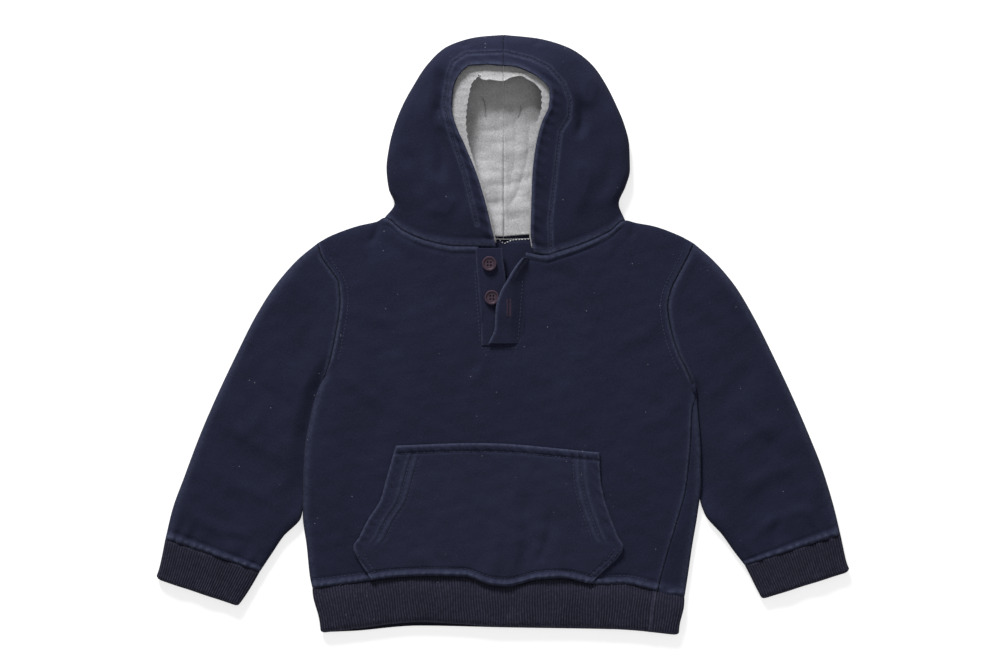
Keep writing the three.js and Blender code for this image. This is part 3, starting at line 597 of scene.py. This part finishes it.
# The rib's base colour is as dark as its shaded grooves (painted shade); its pale colour lights the ridges
# (painted highlight, partly wear).
RIB_NAVY, RIB_PALE = srgb(24, 24, 39), srgb(82, 82, 104)
rib_knit = fabric("navy_rib", RIB_NAVY, RIB_PALE, 1300, 0.0003, 0.4)
hem = cloth("hem_rib_cloth", grid, RIB, ring=True, paleness=paler)
dress(hem, rib_knit, ["hem_rib"])


# --- Sleeves --------------------------------------------------------------------------------------
# One piece of fleece each, with its seam underneath, set into the armhole. The cloth sinks where it
# lies beside the body. Each ends in a doubled cuff of the same rib as the hem.

SLEEVE_HEIGHT, ROW_LENGTH = 7.8, 26
SLEEVE_POINTS = {"along": 150, "over": 84, "under": 60}
CUFF_RIBS, CUFF_WIDTH = 38, 79
SLEEVES = {
    "right": {
        "row": [0, 1, 2, 3, 4, 5, 6, 7, 8, 9],
        "inner_x": [-194.2, -184.5, -175.6, -161.2, -158.8, -157.2, -152.8, -148.4, -145.2, -143.4],
        "inner_y": [-188.6, -174, -160.8, -144.8, -126, -96, -66, -48, -38, -33],
        "outer_x": [-269.8, -263.6, -254.8, -242.8, -230.5, -214, -198, -182.8, -164, -149.2],
        "outer_y": [-162.6, -137, -112.8, -80.8, -52, -16.8, 15.2, 39.2, 60.8, 73],
        "bow": [0, 0, 0, 0, 0, 0.1, 0.25, 0.5, 0.8, 1],
    },
    "left": {
        "row": [0, 1, 2, 3, 4, 5, 6, 7, 8, 9],
        "inner_x": [192.4, 183.4, 174.6, 160.6, 156.4, 155.6, 154.2, 153.4, 153.2, 153.6],
        "inner_y": [-183.6, -172, -159.6, -143, -128, -98, -72, -56, -49, -46],
        "outer_x": [268.8, 262.6, 254, 244.4, 231.6, 215.6, 199.6, 185.2, 166.6, 152.6],
        "outer_y": [-159, -133, -105, -80.8, -51, -16.8, 15.2, 39.2, 60.8, 73],
        "bow": [0, 0, 0, 0, 0, 0.1, 0.25, 0.5, 0.8, 1],
    },
}
SLEEVE_CREASES = {
    "right": [
        (-168, -60, -204, -28, 9, -1.0), (-172, -100, -222, -66, 8, 0.9), (-186, -130, -236, -104, 7, 0.8),
        (-190, -60, -214, -84, 6, 0.6), (-200, -160, -250, -140, 5, 0.8), (-160, 52, -190, 20, 10, 0.8),
        (-150, 20, -172, -30, 8, -0.8), (-214, -168, -226, -140, 5, -0.7), (-244, -156, -250, -120, 5, 0.6),
    ],
    "left": [
        (170, -60, 206, -28, 9, -1.0), (174, -100, 224, -66, 8, 0.9), (188, -128, 238, -102, 7, 0.8),
        (190, -60, 214, -86, 6, 0.6), (200, -158, 250, -138, 5, 0.8), (162, 52, 192, 20, 10, 0.8),
        (152, 20, 176, -30, 8, -0.8), (216, -164, 226, -136, 5, -0.7), (244, -150, 250, -116, 5, 0.6),
    ],
}
CUFFS = {
    "right": {
        "row": [0, 1, 2, 3],
        "inner_x": [-194.4, -200, -206, -210.6], "inner_y": [-188.9, -198.8, -208.8, -216.6],
        "outer_x": [-269.9, -272.4, -275, -277], "outer_y": [-162.9, -176, -187.6, -194.6],
    },
    "left": {
        "row": [0, 1, 2, 3],
        "inner_x": [192.6, 197.4, 201.4, 205.4], "inner_y": [-183.9, -193.4, -202, -211],
        "outer_x": [268.9, 271.2, 273.6, 275.8], "outer_y": [-159.3, -170.6, -181.6, -188.8],
    },
}


def tube_lines(table, count):
    row = np.linspace(0, table["row"][-1], count)
    return {key: through(table, "row", key)(row)[:, None] for key in table if key != "row"}


for side, sign in (("right", -1), ("left", 1)):
    rows = tube_lines(SLEEVES[side], SLEEVE_POINTS["along"])
    share, _ = flat_ring(SLEEVE_POINTS["over"], SLEEVE_HEIGHT, 90, SLEEVE_POINTS["under"])
    over = (np.arange(len(share)) < SLEEVE_POINTS["over"])[None, :]
    share = share[None, :]
    width = np.hypot(rows["inner_x"] - rows["outer_x"], rows["inner_y"] - rows["outer_y"])
    last = {key: SLEEVES[side][key][-1] for key in SLEEVES[side]}
    seam_y = mix(last["inner_y"], last["outer_y"], share)
    bowed = armhole[side](seam_y) + sign * 0.05 - mix(last["inner_x"], last["outer_x"], share)
    x = mix(rows["inner_x"], rows["outer_x"], share) + rows["bow"] * bowed
    y = mix(rows["inner_y"], rows["outer_y"], share)
    inner_away, outer_away = share * width, (1 - share) * width
    beside = ease(y, -150, -120) * (1 - ease(y, 20, 60)) * (1 - rows["bow"] ** 4)
    middle = SLEEVE_HEIGHT / 2 + 1
    sunk = mix(1.0, 0.3 + 0.7 * ease(inner_away, 2, 24), beside)
    edge_height, fold_away = middle * mix(1, 0.6, beside), np.minimum(inner_away, outer_away)
    top = mix(edge_height, SLEEVE_HEIGHT * sunk, rounding(fold_away, FOLD_TOP))
    at_seam = rows["bow"] ** 6
    top = mix(top, front_height(x, y), at_seam * ease(share, 0, 0.03) * (1 - ease(share, 0.97, 1)))
    under = edge_height * (1 - rounding(fold_away, FOLD_UNDER))
    settle = rounding(fold_away, 10)
    from_cuff = np.linspace(0, SLEEVES[side]["row"][-1], SLEEVE_POINTS["along"])[:, None] * ROW_LENGTH
    puckers = 0.5 + 0.5 * np.sin(share * width * 0.9 + 2 * np.sin(share * 9))
    welt = line_ridge(from_cuff - 3.0, 2.2)
    relief = creases(x, y, SLEEVE_CREASES[side]) * 1.5 + 0.7 * rolling(x, y, 11 + sign)
    relief += 0.25 * rolling(x, y, 15 + sign, longest=24, shortest=9)
    gathers = 0.5 * (1 - ease(from_cuff, 6, 34)) * np.sin(share * width * 0.42 + 3 * np.sin(share * 7))
    relief = relief * (1 - at_seam) + gathers
    relief += welt * (1.2 + 0.5 * puckers) - 0.8 * line_ridge(from_cuff - 7.2, 1.2)
    strip = sign * (x - armhole[side](y))
    near = ease(y, underarm[side], underarm[side] + 12) * (1 - ease(y, 58, 72))
    relief += near * (0.8 * line_ridge(strip - 5, 4.5) * (sign > 0) - 0.6 * line_ridge(strip, 1.0))
    z = np.where(over, top + relief * settle, under)
    paleness = np.where(over, 0.7 * welt * (0.4 + 0.6 * puckers) + 0.3 * near * line_ridge(strip - 1.5, 1.5), 0)
    # Paler along the outer fold: painted highlight on the rounded fold, partly wear on the edge.
    paleness = paleness + np.where(over, 0.25 * line_ridge(outer_away - 2, 3), 0)
    grid = np.stack([x, y, np.maximum(z, 0)], -1)
    if side == "right":
        grid, paleness = grid[:, ::-1], paleness[:, ::-1]
    sleeve = cloth(f"sleeve_{side}_cloth", grid, FLEECE, ring=True, paleness=paleness)
    dress(sleeve, fleece, [f"sleeve_{side}"])

    # The cuff: doubled rib, narrower than the sleeve that it gathers.
    cuff_front = CUFF_RIBS * POINTS_PER_RIB
    rows = tube_lines(CUFFS[side], 20)
    share, lie = flat_ring(cuff_front, RIB_HEIGHT, CUFF_WIDTH, cuff_front)
    over = (np.arange(2 * cuff_front) < cuff_front)[None, :]
    share, lie = share[None, :], lie[None, :]
    level = np.linspace(0, 1, 20)[:, None]
    x = mix(rows["inner_x"], rows["outer_x"], share)
    y = mix(rows["inner_y"], rows["outer_y"], share)
    corner = 2.6 * (1 - rounding(np.minimum(share, 1 - share) * CUFF_WIDTH, 5.0)) * level ** 4
    y = y + corner
    phase = 2 * math.pi * np.arange(2 * cuff_front)[None, :] / POINTS_PER_RIB
    swell = mix(SLEEVE_HEIGHT / RIB_HEIGHT, 1.0, ease(level, 0, 0.3))
    swell = swell * (1 - 0.28 * ease(level, 0.88, 1.0) ** 2)
    ridge = RIB_RIDGE * np.cos(phase) * ease(level, 0, 0.1)
    dips = 0.5 * np.sin(share * 17 + level * 2 + sign) * level * over
    z = lie * swell + (ridge + dips) * ease(lie, 0.3, 2)
    grid = np.stack([x, y, np.maximum(z, 0)], -1)[::-1]
    # As on the hem: ridges painted paler over dark grooves, a painted highlight and painted shade, partly
    # wear. The folded edge is paler from wear.
    paler = 0.75 * (0.5 + 0.5 * np.cos(phase)) * (0.6 + 0.4 * level)
    paler = (paler + 0.4 * line_ridge(level - 0.985, 0.03))[::-1]
    if side == "right":
        grid, paler = grid[:, ::-1], paler[:, ::-1]
    cuff = cloth(f"cuff_{side}_cloth", grid, RIB, ring=True, paleness=paler)
    dress(cuff, rib_knit, [f"cuff_{side}"])


# --- Hood -----------------------------------------------------------------------------------------
# Two halves of fleece, joined over the crown and down the back, with a wide stitched casing round
# the face. They stand open a little, since a second layer of jersey lies inside.

HOOD = {
    "right": {
        "face_x": [-5, -8.2, -12, -20, -29, -37, -40.4, -39.4, -34, -25, -14, -0.1],
        "face_y": [71.2, 84, 100, 127, 149, 167, 181, 194, 206, 212.6, 213, 212.2],
        "fold_x": [-94.8, -87, -91.5, -93.3, -91, -86.8, -80.4, -71.6, -61, -44, -20, -0.1],
        "fold_y": [94.3, 105, 116.5, 133, 151, 167, 183, 199, 215.2, 230.4, 237.6, 239.2],
        "lip": [0, 0, 0, 0, 2, 7, 11, 12, 11, 11, 10.5, 10],
    },
    "left": {
        "face_x": [23, 20.6, 21, 22, 24.6, 29.5, 34.8, 35.6, 29, 19.6, 10, 0.1],
        "face_y": [66, 82, 102, 128, 150, 169, 181, 192, 201.4, 207.4, 211, 212.2],
        "fold_x": [97, 92, 97.4, 100.8, 100.2, 96.2, 90, 82, 70.8, 52, 26, 0.1],
        "fold_y": [92, 105, 118.5, 132, 151, 168, 183, 199, 215.2, 229, 236.6, 239.2],
        "lip": [0, 0, 0, 0, 0, 2, 4, 5, 5, 5, 8, 10],
    },
}
CASING = {
    "right": [
        (-21, 88), (-31, 129), (-42.5, 161), (-47.5, 183), (-44, 206), (-40, 216), (-30, 223), (-1, 224),
    ],
    "left": [
        (38, 65), (37, 91), (45, 161), (52, 172), (53, 185), (47.5, 199), (36, 212), (22, 219), (1, 224),
    ],
}
HOOD_CREASES = [
    (-50, 212, -54, 168, 6, -2.2), (-56, 172, -50, 122, 5, -1.4), (60, 190, 60, 156, 4.5, -1.8),
    (-28, 238, -32, 228, 2.5, -1.2), (26, 238, 26, 229, 2.5, -1.2), (-60, 130, -44, 92, 7, 0.9),
    (62, 140, 58, 96, 7, 0.9), (-80, 150, -66, 110, 6, -0.7), (84, 150, 76, 108, 6, -0.7),
    (-34, 110, -64, 98, 5, 0.6), (30, 120, 34, 84, 5, -0.6), (70, 208, 62, 178, 6, 0.8),
]
LINING_CREASES = [
    (-20, 196, -14, 168, 2, -1.2), (14, 190, 10, 170, 2, -0.9), (20, 170, 2, 96, 2.2, -0.9),
    (24, 150, 14, 112, 2, -0.7), (-22, 140, -6, 104, 2.5, 0.7), (2, 200, 3, 110, 1.6, -0.5),
]
CROWN_UNDER, HOOD_BOW = 170, [1, 0.35] + [0] * 10
RIM_HEIGHTS = [8.4, 12, 14, 16, 18, 20, 21, 22, 23, 24, 24, 24]
HOOD_HEIGHTS = [7, 9.5, 11.5] + [12.5] * 9
HOOD_DEPTH, LINING_SHY = 4.5, 2.5
HOOD_POINTS = {"over": 110, "round": 12, "under": 46}


def near_line(x, y, points):
    """How far each place lies from a line through some points."""
    nearest = np.full(np.broadcast(x, y).shape, 1e9)
    for (x0, y0), (x1, y1) in zip(points, points[1:]):
        length = (x1 - x0) ** 2 + (y1 - y0) ** 2
        along = np.clip(((x - x0) * (x1 - x0) + (y - y0) * (y1 - y0)) / length, 0, 1)
        nearest = np.minimum(nearest, np.hypot(x - mix(x0, x1, along), y - mix(y0, y1, along)))
    return nearest


def hood_grid(side, lining, count=118):
    """Half a hood from its face edge over the outer fold and beneath to the centre of the back."""
    away = -1 if side == "right" else 1
    table = dict(HOOD[side], row=list(range(12)), rim=RIM_HEIGHTS, height=HOOD_HEIGHTS, bow=HOOD_BOW)
    r = tube_lines(table, count)
    width = np.hypot(r["face_x"] - r["fold_x"], r["face_y"] - r["fold_y"])
    out_x, out_y = (r["fold_x"] - r["face_x"]) / width, (r["fold_y"] - r["face_y"]) / width
    shy = LINING_SHY if lining else 0
    fold_x, fold_y = r["fold_x"] - out_x * shy, r["fold_y"] - out_y * shy
    share = np.linspace(0, 1, HOOD_POINTS["over"])[None, :] ** 1.15
    wobble = 0.5 * np.sin(1.3 * r["face_y"] + 0.4 * r["face_x"]) * (r["lip"] > 0)
    start = (wobble - r["lip"] if lining else 1) * (1 - ease(share, 0, 0.25))
    x, y = mix(r["face_x"], fold_x, share) + out_x * start, mix(r["face_y"], fold_y, share) + out_y * start
    first = {key: table[key][0] for key in ("face_x", "face_y", "fold_x", "fold_y")}
    neck_x = mix(first["face_x"], first["fold_x"], share)
    y = y + r["bow"] * (front_top(neck_x) + 0.05 - mix(first["face_y"], first["fold_y"], share))
    rounds = np.minimum(FOLD_TOP, width / 2)
    middle = r["height"] / 2 + 1
    z = mix(middle, mix(r["rim"], r["height"], share), rounding((1 - share) * width, rounds))
    z = mix(z, front_height(x, y), r["bow"] ** 4 * (share < 0.99))
    crown = np.linspace(0, 1, count)[:, None]
    centre_x, centre_y = 0.02 * away, mix(float(back_neck(0)) + SEAM_GAP, CROWN_UNDER, crown)
    reach = np.hypot(fold_x - centre_x, fold_y - centre_y)
    angle = np.linspace(0, math.pi / 2, HOOD_POINTS["round"])[None, 1:]
    turn = FOLD_UNDER / reach * (1 - np.cos(angle))
    rest = mix(FOLD_UNDER / reach, 1.0, np.linspace(0, 1, HOOD_POINTS["under"])[None, 1:])
    under = np.concatenate([turn, rest], 1)
    under_x, under_y = mix(fold_x, centre_x, under), mix(fold_y, centre_y, under)
    neck_x = mix(first["fold_x"], centre_x, under)
    neck_rise = back_neck(neck_x) + SEAM_GAP - mix(first["fold_y"], float(back_neck(0)) + SEAM_GAP, under)
    under_y = under_y + r["bow"] * neck_rise
    under_z = np.concatenate([middle * (1 - np.sin(angle)), 0 * rest], 1)
    paleness = np.zeros_like(x)
    sunk = np.clip(2.1 * creases(x, y, HOOD_CREASES), -HOOD_DEPTH, 0) - 0.9
    if not lining:
        casing = near_line(x, y, CASING[side])
        relief = creases(x, y, HOOD_CREASES) * 2.1 + 0.7 * rolling(x, y, 21 + away)
        relief -= 0.7 * line_ridge(casing, 0.9)
        edge = share * width
        relief += 0.6 * line_ridge(edge - 2.5, 2)
        relief += 0.35 * line_ridge(edge - 5, 6) * np.sin(y * 0.7 + x * 0.4)
        neck = y - front_top(np.clip(x, NECK_ENDS["right"], NECK_ENDS["left"]))
        relief += (0.8 * line_ridge(neck - 3, 2.2) - 0.7 * line_ridge(neck - 6.6, 1)) * (1 - share ** 8)
        z = z + np.clip(relief, -HOOD_DEPTH, 1.6) * rounding((1 - share) * width, 8) * ease(crown, 0, 0.03)
        paleness = 0.5 * line_ridge(edge - 1, 1.6) + 0.4 * line_ridge(neck - 2, 2)
        paleness += 0.3 * line_ridge(casing - 1.6, 1)
    else:
        z = z + sunk * ease(share, 0.05, 0.3) * rounding((1 - share) * width, 8)
        z = z + 0.12 * np.sin(y * 1.1 + 0.6 * np.sin(x * 0.2)) * (1 - ease(share, 0.1, 0.3))
        swell = 0.9 * rolling(under_x, under_y, 31 + away, longest=60) + 1.1
        swell += 0.45 * rolling(under_x * 0.3, under_y, 35, waves=14, longest=13, shortest=4)
        swell += 1.2 * creases(under_x, under_y, LINING_CREASES)
        on_table = np.arange(under.shape[1]) >= turn.shape[1]
        under_z = under_z + swell * ease(under, 0.2, 0.5) * on_table
        under_z += 0.8 * line_ridge(under_x - centre_x, 2.5) * on_table
    grid = np.stack([np.concatenate(p, 1) for p in ([x, under_x], [y, under_y], [z, under_z])], -1)
    paleness = np.concatenate([paleness, 0 * under], 1)
    return (grid, paleness) if side == "left" else (grid[:, ::-1], paleness[:, ::-1])


def inwards(grid, distance):
    """The grid moved into the hood, square to its own surface."""
    facing = np.cross(np.gradient(grid, axis=1), np.gradient(grid, axis=0))
    return grid - distance * facing / np.maximum(np.linalg.norm(facing, axis=-1, keepdims=True), 1e-9)


hoods = {}
for side, area in (("right", 0.023), ("left", 0.025)):
    grid, paleness = hood_grid(side, False)
    hoods[side] = cloth(f"hood_{side}_cloth", grid, FLEECE, paleness=paleness)
    dress(hoods[side], fleece, [f"hood_{side}"])


# --- Hood lining ----------------------------------------------------------------------------------
# Grey marl single jersey, a millimetre thick, caught in the face edge and in the neck seam. Its
# lower edge at the back of the neck is held by pale chain stitches.

JERSEY = 1.0
marl = fabric("grey_marl_jersey", srgb(178, 178, 180), srgb(200, 200, 202), 900, 0.0002, 0.0)
linings = {}
for side, area in (("right", 0.0195), ("left", 0.021)):
    grid, _ = hood_grid(side, True, 96)
    grid = inwards(grid, FLEECE + SEAM_GAP)[2:]
    seam_column = -1 if side == "left" else 0
    grid[:, seam_column, 0] = grid[-1, :, 0] = 0.02 if side == "left" else -0.02
    linings[side] = cloth(f"hood_lining_{side}_cloth", grid, JERSEY)
    dress(linings[side], marl, [f"hood_lining_{side}"])


# --- Kangaroo pocket ------------------------------------------------------------------------------
# One piece of fleece stitched on the front along its top and its two short diagonals. The curved
# hand openings are hemmed with two rows, and the lower edge goes into the hem seam.

POCKET = {
    "y": [-201, -190.5, -168.6, -161, -148, -131, -114, -88],
    "right": [-100, -108, -119.6, -115.1, -108.6, -98, -93.2, -85.8],
    "left": [65, 77, 95.6, 91.6, 86.4, 80.6, 77.4, 76.2],
}
pocket_edge = {side: through(POCKET, "y", side) for side in ("right", "left")}
pocket_top = through({"x": [-85.8, -20, 76.2], "y": [-88, -86, -93.4]}, "x", "y")
level, share = np.linspace(0, 1, 120)[:, None], np.linspace(0, 1, 170)[None, :]
guess = mix(-190.5, -88.0, level)
across = mix(pocket_edge["right"](guess), pocket_edge["left"](guess), share)
y = mix(front_hem(across) + 1.5, pocket_top(across), level)
x = mix(pocket_edge["right"](y), pocket_edge["left"](y), share)
relief, paleness = front_relief(x, y)
top_away, side_away = pocket_top(x) - y, np.minimum(x - pocket_edge["right"](y), pocket_edge["left"](y) - x)
edge = np.minimum(top_away, side_away)
relief += 0.5 * line_ridge(edge - 3, 2.4) - 0.8 * line_ridge(top_away - 6.6, 1.0)
hand = ease(y, -168, -162) * (1 - ease(y, -98, -92))
relief -= 0.75 * hand * (line_ridge(side_away - 15, 1.0) + line_ridge(side_away - 21.5, 1.0))
relief += 0.3 * (edge < 7) * np.sin(x * 0.9 + y * 0.7 + 2 * np.sin(x * 0.2))
paleness += 0.35 * hand * (line_ridge(side_away - 18, 1.6) + line_ridge(side_away - 12, 1.4))
low = 1 - ease(y, -174, -168)
relief -= 0.6 * low * (line_ridge(side_away - 2, 0.8) + line_ridge(side_away - 7, 0.8))
paleness = paleness * 0.8 + 0.55 * line_ridge(edge - 0.6, 1.1)
z = BODY_HEIGHT + SEAM_GAP + FLEECE + relief - 0.7 * (1 - rounding(edge + 0.2, 2.2))
pocket = cloth("kangaroo_pocket_cloth", np.stack([x, y, z], -1), FLEECE, paleness=paleness)
pocket_fleece = fabric("navy_fleece_pocket", srgb(33, 36, 57), NAVY_PALE, 1500, 0.0004)
dress(pocket, pocket_fleece, ["kangaroo_pocket"])


# --- Half placket ---------------------------------------------------------------------------------
# Two doubled bands of the same fleece in the slit. They lie unbuttoned: the upper one carries the
# buttonhole and its top corner rolls open.

PLACKET = 2.4
y, share = np.linspace(-8.6, 69.4, 90)[:, None], np.linspace(0, 1, 34)[None, :]
x = mix(under_sewn(y), under_free(y), share)
away = np.minimum(x - under_sewn(y), under_free(y) - x)
z = front_height(x, y) + 0.4 + 0.2 * rolling(x, y, 41) - 0.5 * (1 - rounding(away, 1.6))
stand_wear = 0.4 * line_ridge(away, 1.2)
under_stand = cloth("placket_under_cloth", np.stack([x, y + 0 * x, z], -1), PLACKET, paleness=stand_wear)
dress(under_stand, fleece, ["placket_under"])

y = np.linspace(-7, 61.4, 90)[:, None]
x = mix(over_free(y), over_sewn(y), share)
start = np.maximum(under_free(y), over_free(y)) + 0.8
drop = np.where(x <= start, 0, ease(x, start, over_sewn(y)))
away = x - over_free(y)
z = front_height(x, y) + (PLACKET + over_lift(y)) * (1 - drop) + 0.25 * rolling(x, y, 43)
z -= 0.7 * (1 - rounding(away, 2.0)) - 0.8 * line_ridge(away - 3, 2.4) * ease(y, 20, 50)
hole = np.hypot((x - 4.4) / 1.6, (y - 21.6) / 8.5)
z -= 0.8 * np.exp(-(hole ** 4))
band_wear = 0.7 * line_ridge(away, 1.6) + 0.4 * line_ridge(away - 5, 1.2) * ease(y, 30, 50)
over_band = cloth("placket_over_cloth", np.stack([x, y + 0 * x, z], -1), PLACKET, paleness=band_wear)
dress(over_band, fleece, ["placket_over"])


# --- Sewing thread --------------------------------------------------------------------------------
# Navy thread topstitches the pocket, casing, armholes, hem and placket. Plum thread edges the
# buttonhole, and pale chain stitches run along the back of the neck.

bpy.context.view_layer.update()
graph = bpy.context.evaluated_depsgraph_get()

# Along a stitch: the place, the share of its thickness and how far it stands up
STITCH_SHAPE = ((0, 0.25, -0.1), (0.2, 0.9, 1), (0.5, 1, 1.1), (0.8, 0.9, 1), (1, 0.25, -0.1))
STITCH_SIDES, STEEPEST_STITCH = 6, 1.5


def sew(name, rows, pieces, material, length=2.3, gap=0.7, radius=0.26, rise=0.12):
    """Rows of stitches dropped on to the pieces beneath them."""
    trees = [BVHTree.FromObject(piece, graph) for piece in pieces]
    ring = np.linspace(0, 2 * math.pi, STITCH_SIDES, endpoint=False)
    points, faces = [], []

    def rest(x, y):
        hits = [tree.ray_cast(Vector((x * MM, y * MM, 0.1)), Vector((0, 0, -1)))[0] for tree in trees]
        heights = [hit.z / MM for hit in hits if hit]
        return max(heights) if heights else None

    for row in rows:
        row = np.array(row, float)
        steps = np.append(0, np.cumsum(np.hypot(*np.diff(row, axis=0).T)))
        for begin in np.arange(0, steps[-1] - length, length + gap):
            ends = [[np.interp(begin + d, steps, row[:, k]) for k in (0, 1)] for d in (0, length)]
            ends = [(x, y, rest(x, y)) for x, y in ends]
            if None in (ends[0][2], ends[1][2]) or abs(ends[0][2] - ends[1][2]) > STEEPEST_STITCH:
                continue
            a, b = np.array(ends[0]), np.array(ends[1])
            along = (b - a) / np.linalg.norm(b - a)
            side = np.array([-along[1], along[0], 0])
            up = np.cross(along, side)
            for at, size, lift in STITCH_SHAPE:
                centre = a + (b - a) * at + np.array([0, 0, rise * lift])
                around = [side * math.cos(t) + up * math.sin(t) for t in ring]
                points += [(centre + size * radius * out) * MM for out in around]
            last = len(points) - STITCH_SIDES
            base = len(points) - STITCH_SIDES * len(STITCH_SHAPE)
            faces.append([base + k for k in range(STITCH_SIDES)][::-1])
            faces.append([last + k for k in range(STITCH_SIDES)])
            for low in range(base, last, STITCH_SIDES):
                high = low + STITCH_SIDES
                for k in range(STITCH_SIDES):
                    beside = (k + 1) % STITCH_SIDES
                    faces.append([low + k, low + beside, high + beside, high + k])
    mesh = bpy.data.meshes.new(name)
    mesh.from_pydata([tuple(p) for p in points], [], faces)
    mesh.polygons.foreach_set("use_smooth", np.ones(len(faces), bool))
    mesh.materials.append(material)
    stitches = bpy.data.objects.new(name, mesh)
    bpy.context.collection.objects.link(stitches)
    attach(stitches, "root")


navy_thread = fabric("navy_thread", srgb(58, 61, 82), srgb(70, 73, 95), 2000, 0.0001, 0.0)
plum_thread = fabric("plum_thread", srgb(62, 50, 66), srgb(70, 60, 76), 2000, 0.0001, 0.0)
white_thread = fabric("white_thread", srgb(214, 214, 216), srgb(230, 230, 232), 2000, 0.0001, 0.0)
heights = np.linspace(-160, -99, 24)
pocket_rows = [[(x, pocket_top(x) - 6.6) for x in np.linspace(-82, 73, 40)]]
for inset in (15, 21.5):
    pocket_rows.append([(pocket_edge["right"](v) + inset, v) for v in heights])
    pocket_rows.append([(pocket_edge["left"](v) - inset, v) for v in heights])
for inset in (2, 7):
    pocket_rows.append([(pocket_edge["right"](v) + inset, v) for v in (-194, -182, -170)])
    pocket_rows.append([(pocket_edge["left"](v) - inset, v) for v in (-192, -182, -170)])
sew("pocket_stitches", pocket_rows, [pocket], navy_thread)
sew("casing_stitches", list(CASING.values()), list(hoods.values()), navy_thread)
armhole_rows = [[(armhole["right"](v) + 6.4, v) for v in range(-20, 70, 6)]]
armhole_rows += [[(armhole["left"](v) - 6.4, v) for v in range(-28, 70, 6)]]
hem_rows = [[(v, front_hem(v) + 6.8) for v in range(-148, 120, 6)]]
placket_rows = [[(-22.9, 51), (-21, 24), (-19.4, 6), (-18.6, -7)], [(-18, -10.4), (14, -10.4)]]
sew("body_stitches", armhole_rows + hem_rows + placket_rows, [front, pocket], navy_thread)
sew("placket_stitches", [[(11.6, -4), (13.6, 20), (15.4, 44)]], [over_band], navy_thread)
sides_of_hole = (3.3, 5.5)
hole_rows = [[(u - 0.9, v), (u + 0.9, v)] for u in sides_of_hole for v in np.arange(15, 28.4, 0.55)]
sew("buttonhole_thread", hole_rows, [over_band], plum_thread, length=1.7, gap=0.1, radius=0.3)
chain = [[(-7, 79), (0.3, 73), (7.5, 76), (22, 76.6)]]
behind = [back, *hoods.values(), *linings.values()]
sew("neck_chain_stitches", chain, behind, white_thread, length=1.5, gap=0.9, radius=0.45)


# --- Buttons --------------------------------------------------------------------------------------
# Two plum four-hole shirt buttons with a raised rim, on the button stand. They are hard, so the
# frame's own turned shapes are kept and given their finish.

plum = bpy.data.materials.new("plum_button")
plum.use_nodes = True
surface = plum.node_tree.nodes["Principled BSDF"]
surface.inputs["Base Color"].default_value = srgb(64, 48, 62)
surface.inputs["Roughness"].default_value = 0.38
mottle = plum.node_tree.nodes.new("ShaderNodeTexNoise")
mottle.inputs["Scale"].default_value = 400
bump = plum.node_tree.nodes.new("ShaderNodeBump")
bump.inputs["Strength"].default_value = 0.15
bump.inputs["Distance"].default_value = 0.0002
plum.node_tree.links.new(mottle.outputs["Fac"], bump.inputs["Height"])
plum.node_tree.links.new(bump.outputs["Normal"], surface.inputs["Normal"])
for name in ("button_upper", "button_lower"):
    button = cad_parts[name]
    button.data.materials.clear()
    button.data.materials.append(plum)
